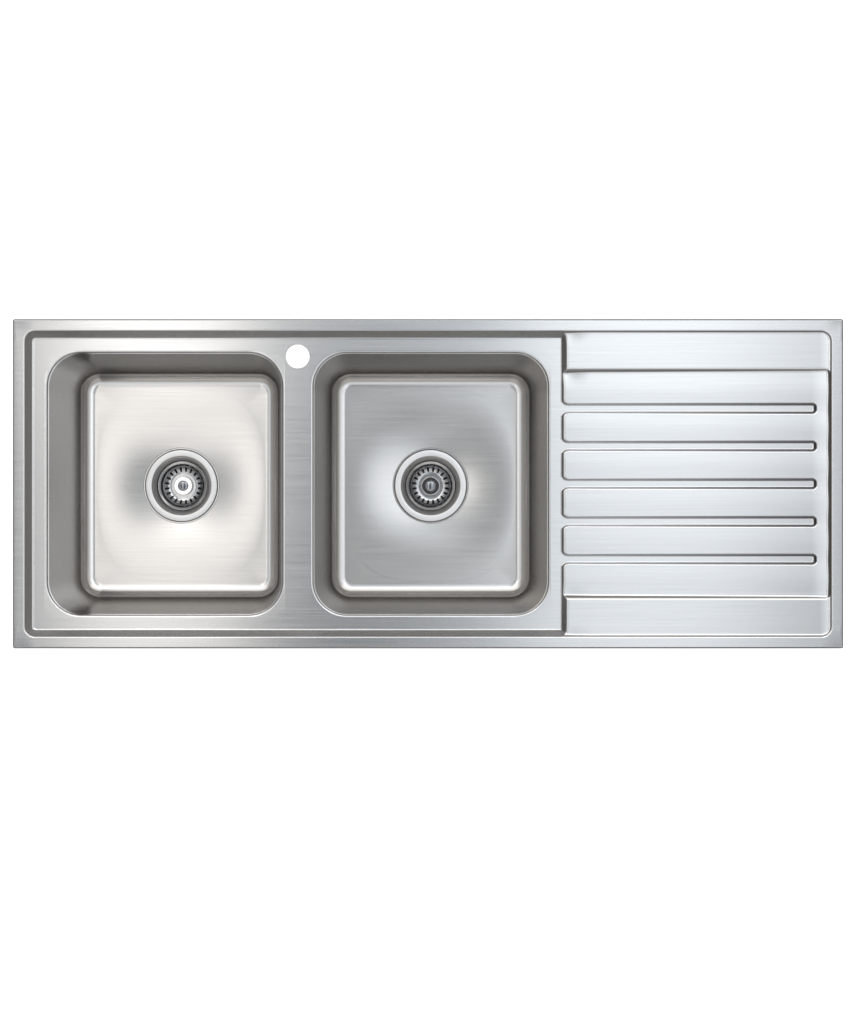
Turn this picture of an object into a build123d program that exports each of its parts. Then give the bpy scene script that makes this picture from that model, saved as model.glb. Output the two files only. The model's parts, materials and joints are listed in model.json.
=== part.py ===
"""Inset stainless steel kitchen sink: pressed deck with a drainer, two bowls and two basket wastes.

Millimetres, +Z up, +Y to the back. The origin is the middle of the outline on the worktop's surface.
"""
import os
from math import cos, radians, sin, tan

from build123d import *

# Sheet and outline
SHEET = 0.9
SINK_WIDTH = 1235.0
SINK_DEPTH = 490.0
OUTER_CORNER = 3.0
RIM_WIDTH = 17.0
RIM_HEIGHT = 4.0
RIM_FOLD = 2.5

# Pressed levels, measured down from the top of the rim
WALL_LEAN = 35.0
DECK_DROP = 11.0
PANEL_DROP = 3.0
LAND_DROP_AT_BOWLS = 8.0
LAND_DROP_AT_END = 6.0
RECESS_CORNER = 16.0
BEND_RADIUS = 2.0

# Drainer
DRAINER_MARGIN = 19.8
PANEL_WIDTH = 57.0
FIELD_CORNER = 10.0
GROOVE_COUNT = 5
GROOVE_PITCH = 56.2
GROOVE_FLOOR_WIDTH = 9.0
GROOVE_END_RADIUS = 3.0
GROOVE_END_MARGIN = 25.0
LAND_CORNER = 1.2

# Bowls
BOWL_WIDTH = 350.0
BOWL_DEPTH = 190.0
BOWL_CORNER = 50.0
BOWL_LEAN = 6.0
BOWL_FLOOR_RADIUS = 22.0
BOWL_ROLL = 4.0
BOWL_MARGIN = 24.8
BOWL_SPACING = 47.0
SEAM_DROP = 8.0
COLLAR_LAND = 8.0

# Tap hole, on the divider between the bowls
TAP_HOLE_DIAMETER = 35.0
TAP_HOLE_SETBACK = 55.0

# Waste seat in the floor of a bowl
DISH_DIAMETER = 216.0
DISH_DROP = 2.5
SEAT_DIAMETER = 121.0
SEAT_DROP = 3.5
SEAT_RADIUS = 1.5
WASTE_HOLE_DIAMETER = 90.0

# Waste flange and cup
FLANGE_DIAMETER = 114.0
CUP_SHEET = 1.0
CUP_CLEARANCE = 1.0
CUP_DEPTH = 38.0
CUP_NARROWING = 3.0
CUP_BROW = 4.5
CUP_FOOT = 4.0
WELL_DIAMETER = 24.0
WELL_DEPTH = 6.0
DRAIN_HOLE_RINGS = ((8, 9.0, 19.5), (14, 6.0, 28.5))
FLANGE_GASKET = 1.5
GASKET_INSET = 1.5
BODY_GASKET = 3.0

# Waste body with its outlet for a 2 inch trap nut
BODY_WALL = 3.5
BODY_FLANGE = 4.0
BODY_ROOM = 2.0
BODY_BARREL = 42.0
BODY_CONE = 22.0
OUTLET_DIAMETER = 59.6
OUTLET_BORE = 49.0
OUTLET_LENGTH = 30.0
RIB_COUNT = 3
RIB_WIDTH = 3.0
RIB_HEIGHT = 14.0
BOSS_DIAMETER = 24.0
BOSS_LENGTH = 21.0
BOSS_GAP = 3.0
INSERT_DIAMETER = 18.0
INSERT_LENGTH = 16.0

# Clamp screw, hollow for the peg of the basket
SCREW_DIAMETER = 12.0
SCREW_LENGTH = 28.0
SCREW_HEAD_DIAMETER = 18.0
SCREW_HEAD_HEIGHT = 3.0
SCREW_SOCKET_DEPTH = 24.0
DRIVER_SLOT = 2.0
THREAD_CLEARANCE = 0.05

# Basket with its seal, hub, peg and knob
BASKET_SHEET = 0.7
BASKET_DIAMETER = 76.0
BASKET_LIP = 1.2
BASKET_HEIGHT = 18.0
BASKET_SHOULDER_DIAMETER = 68.0
BASKET_SHOULDER_HEIGHT = 11.0
BASKET_FLOOR_DIAMETER = 45.0
BASKET_BEND = 3.0
SLOT_COUNT = 20
SLOT_WIDTH = 2.6
SLOT_LENGTH = 10.5
SLOT_START = 23.0
SEAL_DIAMETER = 67.0
SEAL_THICKNESS = 2.8
SEAL_CLEARANCE = 0.2
HUB_DIAMETER = 40.0
HUB_HEIGHT = 5.0
HUB_NECK_DIAMETER = 17.8
HUB_LIP_DIAMETER = 21.2
HUB_LIP = 1.4
HUB_CLEARANCE = 0.1
STEM_DIAMETER = 8.0
STEM_CLEARANCE = 0.06
STEM_REACH = 22.0
STEM_CHAMFER = 1.0
STEM_HEAD_DIAMETER = 10.4
STEM_HEAD = 1.2
STEM_COLLAR_DIAMETER = 12.0
STEM_COLLAR = 1.5
SOCKET_CLEARANCE = 0.3
PEG_RING_WIRE = 0.9
PEG_RING_PROUD = 0.15
PEG_RING_HEIGHT = 6.0
PEG_RING_GAP = 40.0
KNOB_DIAMETER = 29.0
KNOB_NECK_DIAMETER = 13.0
KNOB_NECK = 4.0
KNOB_HEAD = 3.4
KNOB_EDGE = 1.3
KNOB_DOME_DIAMETER = 17.0
KNOB_DOME = 2.4
KNOB_GAP = 0.3

# Sound pads under the bowls
PAD_THICKNESS = 3.0
PAD_LENGTH = 200.0
FLOOR_PAD_WIDTH = 38.0
PAD_GAP = 4.0
WALL_PAD_HEIGHT = 100.0
WALL_PAD_LIFT = 45.0

# Foam strip under the rim
RIM_SEAL_WIDTH = 8.0
RIM_SEAL_INSET = 3.5

# Fixing clips for the worktop
WORKTOP_THICKNESS = 33.0
CLIP_SHEET = 2.0
CLIP_WIDTH = 9.0
CLIP_ARM = 23.0
CLIP_HOOK = 8.0
CLIP_HANG = 28.0
CLIP_DROP = 12.0
TAB_SHEET = 1.5
TAB_WIDTH = 16.0
TAB_FOOT = 12.0
TAB_INSET = 6.0
TAB_EDGE = 5.0
TAB_SLACK = 1.0
CLIP_SCREW_DIAMETER = 5.0
CLIP_SCREW_LENGTH = 21.0
CLIP_SCREW_POINT = 2.5
CLIP_SCREW_HEAD_DIAMETER = 10.0
CLIP_SCREW_HEAD = 3.0
CLIP_SCREW_EDGE = 4.0
END_CLIP_SPREAD = 200.0

# How far cutting shapes reach past the faces that they cut, and what counts as level or sharp
BITE = 5.0
NEAR = 0.01
SMOOTH_ANGLE = 8.0

# Levels and places worked out from the sizes above
RECESS_X = SINK_WIDTH / 2 - RIM_WIDTH
RECESS_Y = SINK_DEPTH / 2 - RIM_WIDTH
WALL_RUN = tan(radians(WALL_LEAN))
DECK_RUN = DECK_DROP * WALL_RUN
DECK_Z = RIM_HEIGHT - DECK_DROP
SEAM_Z = DECK_Z - SEAM_DROP
BOWL_LENGTH = 2 * (RECESS_Y - DECK_RUN - BOWL_MARGIN)
LEFT_BOWL_X = -RECESS_X + DECK_RUN + BOWL_MARGIN + BOWL_WIDTH / 2
RIGHT_BOWL_X = LEFT_BOWL_X + BOWL_WIDTH + BOWL_SPACING
DECK_END = RIGHT_BOWL_X + BOWL_WIDTH / 2 + DRAINER_MARGIN
DRAINER_LENGTH = RECESS_X - DECK_END
DRAINER_START = DECK_END - DECK_RUN - 2 * RECESS_CORNER
FIELD_WIDTH = 2 * (RECESS_Y - PANEL_WIDTH)
TAP_HOLE_X = (LEFT_BOWL_X + RIGHT_BOWL_X) / 2
TAP_HOLE_Y = SINK_DEPTH / 2 - TAP_HOLE_SETBACK
FLOOR_Z = DECK_Z - BOWL_DEPTH
SEAT_Z = FLOOR_Z - DISH_DROP - SEAT_DROP
FLANGE_Z = SEAT_Z + FLANGE_GASKET
CUP_FLOOR_Z = FLANGE_Z - CUP_DEPTH + CUP_SHEET
WELL_FLOOR_Z = CUP_FLOOR_Z - WELL_DEPTH
SEAL_Z = CUP_FLOOR_Z + SEAL_CLEARANCE
HUB_Z = SEAL_Z + SEAL_THICKNESS
BASKET_Z = HUB_Z + HUB_HEIGHT
KNOB_Z = BASKET_Z + BASKET_SHEET
BODY_Z = SEAT_Z - SHEET - BODY_GASKET
BARREL_END_Z = BODY_Z - BODY_BARREL
CONE_END_Z = BARREL_END_Z - BODY_CONE
BOSS_Z = WELL_FLOOR_Z - CUP_SHEET - BOSS_GAP
CUP_MOUTH = WASTE_HOLE_DIAMETER / 2 - CUP_CLEARANCE
CUP_BASE = CUP_MOUTH - CUP_NARROWING
BARREL = WASTE_HOLE_DIAMETER / 2 + BODY_ROOM
STEM_BORE = STEM_DIAMETER / 2 + STEM_CLEARANCE
SOCKET_BORE = STEM_DIAMETER / 2 + SOCKET_CLEARANCE
HOOK_Z = DECK_Z - SHEET - CLIP_HANG
ARM_Z = -WORKTOP_THICKNESS - CLIP_DROP


def turned(*points):
    """Solid of revolution about the Z axis from (radius, height) corners."""
    outline = make_face(Polyline(*[(r, 0, z) for r, z in points], close=True))
    return revolve(outline, Axis.Z)


def ring(inner, outer, low, high):
    """Flat ring about the Z axis, from its radii and heights."""
    return turned((inner, low), (outer, low), (outer, high), (inner, high))


def circle_edges(solid, radius, height):
    """Circular edges of one radius about the Z axis at one height."""
    def wanted(edge):
        level = abs(edge.center(CenterOf.BOUNDING_BOX).Z - height) < NEAR
        return level and abs(edge.radius - radius) < NEAR
    return solid.edges().filter_by(GeomType.CIRCLE).filter_by(wanted)


def box_between(low, high):
    """Box from its lowest and highest corners."""
    size = [b - a for a, b in zip(low, high)]
    middle = [(a + b) / 2 for a, b in zip(low, high)]
    return Pos(*middle) * Box(*size)


def sharp_edges(solid, wanted):
    """Edges that are wanted and where two faces of a solid meet at an angle."""
    owners = {}
    for face in solid.faces():
        for edge in face.edges().filter_by(wanted):
            owners.setdefault(edge, []).append(face)
    sharp = ShapeList()
    for edge, faces in owners.items():
        middle = edge.position_at(0.5)
        normals = [face.normal_at(middle) for face in faces]
        if len(normals) == 2 and normals[0].get_angle(normals[1]) > SMOOTH_ANGLE:
            sharp.append(edge)
    return sharp


def sunk(outline, drop):
    """Space of one pressed level: the outline at the rim's top, with walls that lean in below it."""
    return Pos(0, 0, RIM_HEIGHT) * Rot(180, 0, 0) * extrude(outline, amount=drop, taper=WALL_LEAN)


def footed(space):
    """The space of a pressed level with the bend along the foot of its walls."""
    return fillet(space.faces().sort_by(Axis.Z)[0].edges(), BEND_RADIUS)


def deck_space():
    """Space over the deck and the drainer's grooves, which are one level."""
    end = DECK_END + DECK_RUN
    far = RECESS_X - GROOVE_END_MARGIN + DECK_RUN
    finger = GROOVE_FLOOR_WIDTH + 2 * DECK_RUN
    outline = Pos((end - RECESS_X) / 2, 0) * Rectangle(end + RECESS_X, 2 * RECESS_Y)
    for place in range(GROOVE_COUNT):
        y = (place - (GROOVE_COUNT - 1) / 2) * GROOVE_PITCH
        outline += Pos((end - BITE + far) / 2, y) * Rectangle(far - end + BITE, finger)
    corners = [v for v in outline.vertices() if abs(abs(v.Y) - RECESS_Y) < NEAR]
    outline = fillet(corners, RECESS_CORNER)
    ends = [v for v in outline.vertices() if abs(v.X - far) < NEAR]
    outline = fillet(ends, GROOVE_END_RADIUS + DECK_RUN)
    reach = (GROOVE_COUNT - 1) / 2 * GROOVE_PITCH + finger
    mouths = [v for v in outline.vertices() if abs(v.X - end) < NEAR and abs(v.Y) < reach]
    outline = fillet(mouths, LAND_CORNER)
    return footed(sunk(outline, DECK_DROP))


def panel_space():
    """Space over the drainer's two flat side panels."""
    outline = RectangleRounded(RECESS_X - DRAINER_START, 2 * RECESS_Y, RECESS_CORNER)
    return footed(sunk(Pos((DRAINER_START + RECESS_X) / 2, 0) * outline, PANEL_DROP))


def land_space():
    """Space over the drainer's lands, which fall towards the bowls."""
    width = FIELD_WIDTH + 2 * PANEL_DROP * WALL_RUN
    outline = RectangleRounded(RECESS_X - DRAINER_START, width, FIELD_CORNER)
    space = sunk(Pos((DRAINER_START + RECESS_X) / 2, 0) * outline, DECK_DROP)
    fall = (LAND_DROP_AT_BOWLS - LAND_DROP_AT_END) / DRAINER_LENGTH
    lands = Plane((DECK_END, 0, RIM_HEIGHT - LAND_DROP_AT_BOWLS), x_dir=(1, 0, fall), z_dir=(-fall, 0, 1))
    below = lands * Pos(0, 0, -DECK_DROP / 2) * Box(2 * SINK_WIDTH, SINK_DEPTH, DECK_DROP)
    return footed(space - below)


def pressed_form():
    """Block whose top is the upper face of the pressed deck, inside the fold of the rim."""
    block = box_between(
        (-SINK_WIDTH / 2 + RIM_WIDTH / 2, -SINK_DEPTH / 2 + RIM_WIDTH / 2, DECK_Z - BITE),
        (SINK_WIDTH / 2 - RIM_WIDTH / 2, SINK_DEPTH / 2 - RIM_WIDTH / 2, RIM_HEIGHT),
    )
    form = block - (deck_space() + panel_space() + land_space())

    def rim_brow(edge):
        place = edge.center()
        inside = abs(place.X) < RECESS_X + BEND_RADIUS and abs(place.Y) < RECESS_Y + BEND_RADIUS
        return inside and abs(place.Z - RIM_HEIGHT) < NEAR

    def land_brow(edge):
        place = edge.center()
        reach = GROOVE_COUNT * GROOVE_PITCH / 2
        inside = DECK_END < place.X < RECESS_X - BEND_RADIUS and abs(place.Y) < reach
        return inside and DECK_Z + NEAR < place.Z < RIM_HEIGHT - PANEL_DROP - NEAR

    form = fillet(sharp_edges(form, rim_brow), BEND_RADIUS)
    return fillet(sharp_edges(form, land_brow), BEND_RADIUS)


def rim_block(gap):
    """Block inside the folded rim, smaller by a gap on its top and sides."""
    outline = RectangleRounded(SINK_WIDTH - 2 * gap, SINK_DEPTH - 2 * gap, OUTER_CORNER - gap)
    low = -BITE if gap else 0
    block = Pos(0, 0, low) * extrude(outline, amount=RIM_HEIGHT - gap - low)
    return fillet(block.edges().group_by(Axis.Z)[-1], RIM_FOLD - gap)


def bowl_space(gap):
    """Straight-sided space inside a bowl at the origin, or inside its outer face with a gap."""
    lean = radians(BOWL_LEAN)
    side = gap * (1 - sin(lean)) / cos(lean)
    outline = RectangleRounded(BOWL_WIDTH + 2 * side, BOWL_LENGTH + 2 * side, BOWL_CORNER + side)
    space = Rot(180, 0, 0) * extrude(outline, amount=BOWL_DEPTH, taper=BOWL_LEAN)
    return Pos(0, 0, DECK_Z - gap) * space


def collar_form(gap):
    """Block round a bowl's opening, with its rolled edge."""
    low = SEAM_Z - (BITE if gap else 0)
    outline = RectangleRounded(
        BOWL_WIDTH + 2 * COLLAR_LAND, BOWL_LENGTH + 2 * COLLAR_LAND, BOWL_CORNER + COLLAR_LAND
    )
    block = Pos(0, 0, low) * extrude(outline, amount=DECK_Z - gap - low)
    form = block - bowl_space(gap)

    def opening(edge):
        reach = edge.bounding_box().max
        depth = edge.bounding_box().min
        across = max(reach.X, -depth.X) < BOWL_WIDTH / 2 + COLLAR_LAND / 2
        return across and max(reach.Y, -depth.Y) < BOWL_LENGTH / 2 + COLLAR_LAND / 2

    edges = form.edges().group_by(Axis.Z)[-1].filter_by(opening)
    return fillet(edges, BOWL_ROLL - gap)


def sink_deck():
    """Pressed sheet: folded rim, sunk deck, drainer and the rolled edges of both bowls."""
    form = pressed_form()
    sheet = form - Pos(0, 0, -SHEET) * form
    rim = rim_block(0) - rim_block(SHEET)
    rim -= Box(SINK_WIDTH - RIM_WIDTH, SINK_DEPTH - RIM_WIDTH, 4 * RIM_HEIGHT)
    sheet += rim
    hole = RectangleRounded(
        BOWL_WIDTH + 2 * COLLAR_LAND, BOWL_LENGTH + 2 * COLLAR_LAND, BOWL_CORNER + COLLAR_LAND
    )
    collar = collar_form(0) - collar_form(SHEET)
    for x in (LEFT_BOWL_X, RIGHT_BOWL_X):
        sheet -= Pos(x, 0, DECK_Z - BITE) * extrude(hole, amount=2 * BITE)
        sheet += Pos(x, 0, 0) * collar
    tap_hole = Pos(TAP_HOLE_X, TAP_HOLE_Y, DECK_Z) * Cylinder(TAP_HOLE_DIAMETER / 2, 2 * BITE)
    return sheet - tap_hole


def seat_space(gap):
    """Dished floor and sunk seat round the waste hole."""
    floor = FLOOR_Z - gap
    dish = DISH_DIAMETER / 2
    brow = SEAT_DIAMETER / 2 + gap
    seat = brow - SEAT_DROP
    edge_z = floor - DISH_DROP
    seat_z = edge_z - SEAT_DROP
    slope = TangentArc((dish, 0, floor), (brow, 0, edge_z), tangent=(-1, 0, 0))
    rest = Polyline(
        (brow, 0, edge_z), (seat, 0, seat_z), (0, 0, seat_z),
        (0, 0, floor + BITE), (dish, 0, floor + BITE), (dish, 0, floor),
    )
    space = revolve(make_face(slope + rest), Axis.Z)
    return fillet(circle_edges(space, seat, seat_z), SEAT_RADIUS + gap)


def drawn_space(gap):
    """Space inside a drawn bowl with its rounded floor and its waste seat."""
    space = bowl_space(gap)
    space = fillet(space.edges().group_by(Axis.Z)[0], BOWL_FLOOR_RADIUS + gap)
    return space + seat_space(gap)


def bowl():
    """Drawn bowl below the weld seam, at the origin."""
    shell = drawn_space(SHEET) - drawn_space(0)
    above = Pos(0, 0, SEAM_Z + BOWL_DEPTH / 2) * Box(2 * BOWL_WIDTH, 2 * BOWL_LENGTH, BOWL_DEPTH)
    hole = Pos(0, 0, SEAT_Z) * Cylinder(WASTE_HOLE_DIAMETER / 2, 2 * BITE)
    return shell - above - hole


def sound_pads():
    """Pads stuck under the floor and on the front and back walls of a bowl at the origin."""
    layer = drawn_space(SHEET + PAD_THICKNESS) - drawn_space(SHEET)
    half = PAD_LENGTH / 2
    near = DISH_DIAMETER / 2 + PAD_GAP
    low = FLOOR_Z + WALL_PAD_LIFT
    pads = []
    for side in (-1, 1):
        inner, outer = sorted((side * near, side * (near + FLOOR_PAD_WIDTH)))
        pads.append(layer & box_between((-half, inner, FLOOR_Z - 2 * BITE), (half, outer, FLOOR_Z)))
        inner, outer = sorted((0, side * BOWL_LENGTH))
        pads.append(layer & box_between((-half, inner, low), (half, outer, low + WALL_PAD_HEIGHT)))
    return pads


def rim_seal():
    """Four butted foam strips under the rim that bed on the worktop."""
    far_x = SINK_WIDTH / 2 - SHEET - RIM_SEAL_INSET
    far_y = SINK_DEPTH / 2 - SHEET - RIM_SEAL_INSET
    near_x = far_x - RIM_SEAL_WIDTH
    near_y = far_y - RIM_SEAL_WIDTH
    top = RIM_HEIGHT - SHEET
    return [
        box_between((-far_x, near_y, 0), (far_x, far_y, top)),
        box_between((-far_x, -far_y, 0), (far_x, -near_y, top)),
        box_between((-far_x, -near_y, 0), (-near_x, near_y, top)),
        box_between((near_x, -near_y, 0), (far_x, near_y, top)),
    ]


def clip_stations():
    """Place of each clip: frame whose +X points out under the worktop, and the height it hangs from."""
    deck_under = DECK_Z - SHEET
    panel_under = RIM_HEIGHT - PANEL_DROP - SHEET
    stations = []
    along = [(x + side * BOWL_WIDTH / 4, deck_under) for x in (LEFT_BOWL_X, RIGHT_BOWL_X) for side in (-1, 1)]
    along += [(DECK_END + DRAINER_LENGTH * share, panel_under) for share in (0.25, 0.75)]
    for x, height in along:
        stations.append((Pos(x, RECESS_Y - DECK_RUN, 0) * Rot(0, 0, 90), height))
        stations.append((Pos(x, DECK_RUN - RECESS_Y, 0) * Rot(0, 0, -90), height))
    for side in (-1, 1):
        place = Pos(DECK_RUN - RECESS_X, side * END_CLIP_SPREAD / 2, 0) * Rot(0, 0, 180)
        stations.append((place, deck_under))
    return stations


def clip_tab(height):
    """Hanger tab welded to the underside of the sheet, with a window for the clip's hook."""
    half = TAB_WIDTH / 2
    window = CLIP_WIDTH / 2 + TAB_SLACK / 2
    foot = box_between((-TAB_INSET - TAB_FOOT, -half, height - TAB_SHEET), (-TAB_INSET, half, height))
    leg = box_between((-TAB_INSET - TAB_SHEET, -half, HOOK_Z - TAB_EDGE), (-TAB_INSET, half, height))
    hole = box_between(
        (-TAB_INSET - BITE, -window, HOOK_Z), (BITE, window, HOOK_Z + CLIP_SHEET + TAB_SLACK)
    )
    return foot + leg - hole


def fixing_clip():
    """Bent clip: hook through the tab's window, drop leg, and an arm out under the worktop."""
    half = CLIP_WIDTH / 2
    back = CLIP_SHEET - TAB_INSET + TAB_SLACK
    hook = box_between((back - CLIP_SHEET - CLIP_HOOK, -half, HOOK_Z), (back, half, HOOK_Z + CLIP_SHEET))
    leg = box_between((back - CLIP_SHEET, -half, ARM_Z), (back, half, HOOK_Z + CLIP_SHEET))
    arm = box_between((back - CLIP_SHEET, -half, ARM_Z), (back + CLIP_ARM, half, ARM_Z + CLIP_SHEET))
    hole = Pos(clip_screw_reach(), 0, ARM_Z) * Cylinder(CLIP_SCREW_DIAMETER / 2 + THREAD_CLEARANCE, 2 * BITE)
    return hook + leg + arm - hole


def clip_screw_reach():
    """How far a clip's screw stands out from the foot of the recess wall."""
    return CLIP_SHEET - TAB_INSET + TAB_SLACK + CLIP_ARM - CLIP_SCREW_EDGE


def clip_screw():
    """Pointed screw that bites the worktop from below, with its head down."""
    top = -WORKTOP_THICKNESS
    radius = CLIP_SCREW_DIAMETER / 2
    head = CLIP_SCREW_HEAD_DIAMETER / 2
    foot = top - CLIP_SCREW_LENGTH
    screw = turned(
        (0, foot - CLIP_SCREW_HEAD), (head, foot - CLIP_SCREW_HEAD), (head, foot), (radius, foot),
        (radius, top - CLIP_SCREW_POINT), (0, top),
    )
    slot = Pos(0, 0, foot - CLIP_SCREW_HEAD) * Box(4 * head, DRIVER_SLOT, CLIP_SCREW_HEAD)
    return Pos(clip_screw_reach(), 0, 0) * (screw - slot)


def clips():
    """Tabs, clips and screws at every station, as three lists of solids."""
    tabs, hooks, screws = [], [], []
    for place, height in clip_stations():
        tabs.append(place * clip_tab(height))
        hooks.append(place * fixing_clip())
        screws.append(place * clip_screw())
    return tabs, hooks, screws


def waste_flange():
    """Flange and cup of a basket waste, with drain holes and a well for the clamp screw."""
    top = FLANGE_Z + CUP_SHEET
    low = CUP_FLOOR_Z - CUP_SHEET
    outer = turned(
        (0, top), (FLANGE_DIAMETER / 2, top), (FLANGE_DIAMETER / 2, FLANGE_Z),
        (CUP_MOUTH, FLANGE_Z), (CUP_BASE, low), (0, low),
    )
    outer = fillet(circle_edges(outer, CUP_MOUTH, FLANGE_Z), CUP_BROW - CUP_SHEET)
    outer = fillet(circle_edges(outer, CUP_BASE, low), CUP_FOOT + CUP_SHEET)
    outer += ring(0, WELL_DIAMETER / 2 + CUP_SHEET, WELL_FLOOR_Z - CUP_SHEET, CUP_FLOOR_Z)
    mouth, base = CUP_MOUTH - CUP_SHEET, CUP_BASE - CUP_SHEET
    inner = turned((0, top), (mouth, top), (base, CUP_FLOOR_Z), (0, CUP_FLOOR_Z))
    inner = fillet(circle_edges(inner, base, CUP_FLOOR_Z), CUP_FOOT)
    cup = outer - inner
    cup = fillet(circle_edges(cup, mouth, top), CUP_BROW)
    cup -= ring(0, WELL_DIAMETER / 2, WELL_FLOOR_Z, CUP_FLOOR_Z + BITE)
    cup -= Pos(0, 0, WELL_FLOOR_Z) * Cylinder(SCREW_DIAMETER / 2 + SOCKET_CLEARANCE, 2 * BITE)
    for count, diameter, radius in DRAIN_HOLE_RINGS:
        for place in PolarLocations(radius, count):
            cup -= Pos(0, 0, CUP_FLOOR_Z) * place * Cylinder(diameter / 2, 4 * CUP_SHEET)
    return cup


def flange_gasket():
    """Gasket between the flange and its seat in the bowl."""
    inner = CUP_MOUTH + CUP_BROW
    return ring(inner, FLANGE_DIAMETER / 2 - GASKET_INSET, SEAT_Z, FLANGE_Z)


def body_gasket():
    """Gasket between the bowl's underside and the waste body."""
    inner = WASTE_HOLE_DIAMETER / 2 + BODY_ROOM
    return ring(inner, FLANGE_DIAMETER / 2 - GASKET_INSET, BODY_Z, SEAT_Z - SHEET)


def waste_body():
    """Moulded body under the bowl: flange, barrel, cone, outlet and the spider for the clamp screw."""
    outer, bore = BARREL + BODY_WALL, OUTLET_BORE / 2
    end = CONE_END_Z - OUTLET_LENGTH
    space = turned(
        (0, BODY_Z), (BARREL, BODY_Z), (BARREL, BARREL_END_Z), (bore, CONE_END_Z), (bore, end), (0, end)
    )
    shell = turned(
        (0, BODY_Z), (FLANGE_DIAMETER / 2, BODY_Z), (FLANGE_DIAMETER / 2, BODY_Z - BODY_FLANGE),
        (outer, BODY_Z - BODY_FLANGE), (outer, BARREL_END_Z), (OUTLET_DIAMETER / 2, CONE_END_Z),
        (OUTLET_DIAMETER / 2, end), (0, end),
    )
    spider = ring(0, BOSS_DIAMETER / 2, BOSS_Z - BOSS_LENGTH, BOSS_Z)
    rib = box_between((0, -RIB_WIDTH / 2, BOSS_Z - RIB_HEIGHT), (BARREL + BITE, RIB_WIDTH / 2, BOSS_Z))
    for place in PolarLocations(0, RIB_COUNT):
        spider += place * rib
    spider = (spider & space) - ring(0, SCREW_DIAMETER / 2 + SOCKET_CLEARANCE, BOSS_Z - BOSS_LENGTH, BOSS_Z)
    pocket = INSERT_DIAMETER / 2 + THREAD_CLEARANCE
    spider -= ring(0, pocket, BOSS_Z - BOSS_LENGTH, BOSS_Z - BOSS_LENGTH + INSERT_LENGTH)
    return shell - space + spider


def boss_insert():
    """Brass thread insert in the spider's boss."""
    low = BOSS_Z - BOSS_LENGTH
    return ring(SCREW_DIAMETER / 2 + THREAD_CLEARANCE, INSERT_DIAMETER / 2, low, low + INSERT_LENGTH)


def clamp_screw():
    """Hollow screw that draws the flange and the body together and guides the basket's peg."""
    top = WELL_FLOOR_Z + SCREW_HEAD_HEIGHT
    end = WELL_FLOOR_Z - SCREW_LENGTH
    screw = turned(
        (0, top), (SCREW_HEAD_DIAMETER / 2, top), (SCREW_HEAD_DIAMETER / 2, WELL_FLOOR_Z),
        (SCREW_DIAMETER / 2, WELL_FLOOR_Z), (SCREW_DIAMETER / 2, end), (0, end),
    )
    slot = Pos(0, 0, top) * Box(2 * SCREW_HEAD_DIAMETER, DRIVER_SLOT, SCREW_HEAD_HEIGHT)
    return screw - ring(0, SOCKET_BORE, top - SCREW_SOCKET_DEPTH, top) - slot


def basket_profile(inset):
    """Turned shape of the basket, drawn in by an inset along its floor and sides."""
    floor = BASKET_FLOOR_DIAMETER / 2 - inset / 2
    shoulder = BASKET_SHOULDER_DIAMETER / 2 - inset
    side = BASKET_DIAMETER / 2 - inset
    shape = turned(
        (0, BASKET_Z + inset), (floor, BASKET_Z + inset), (shoulder, BASKET_Z + BASKET_SHOULDER_HEIGHT),
        (side, BASKET_Z + BASKET_HEIGHT), (0, BASKET_Z + BASKET_HEIGHT),
    )
    shape = fillet(circle_edges(shape, floor, BASKET_Z + inset), BASKET_BEND + BASKET_SHEET - inset)
    return fillet(circle_edges(shape, shoulder, BASKET_Z + BASKET_SHOULDER_HEIGHT), 2 * BASKET_BEND - inset)


def basket():
    """Strainer basket with a lip and a ring of slots in its sloping side."""
    top = BASKET_Z + BASKET_HEIGHT
    lip = ring(0, BASKET_DIAMETER / 2 + BASKET_LIP, top - BASKET_SHEET, top)
    cup = basket_profile(0) + lip - basket_profile(BASKET_SHEET)
    slot = Pos(SLOT_LENGTH / 2, 0, BASKET_Z) * extrude(
        SlotOverall(SLOT_LENGTH, SLOT_WIDTH), amount=BASKET_SHOULDER_HEIGHT + BITE, both=True
    )
    for place in PolarLocations(SLOT_START, SLOT_COUNT):
        cup -= place * slot
    return cup - Pos(0, 0, BASKET_Z) * Cylinder(STEM_BORE, 2 * BITE)


def plug_seal():
    """Rubber disc under the basket that closes the drain holes."""
    return ring(HUB_NECK_DIAMETER / 2 + HUB_CLEARANCE, SEAL_DIAMETER / 2, SEAL_Z, HUB_Z)


def seal_hub():
    """Spool under the basket that holds the rubber disc and turns on the stem."""
    neck, lip = HUB_NECK_DIAMETER / 2, HUB_LIP_DIAMETER / 2
    return turned(
        (STEM_BORE, SEAL_Z - HUB_LIP), (lip, SEAL_Z - HUB_LIP), (lip, SEAL_Z), (neck, SEAL_Z),
        (neck, HUB_Z), (HUB_DIAMETER / 2, HUB_Z), (HUB_DIAMETER / 2, BASKET_Z), (STEM_BORE, BASKET_Z),
    )


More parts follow.
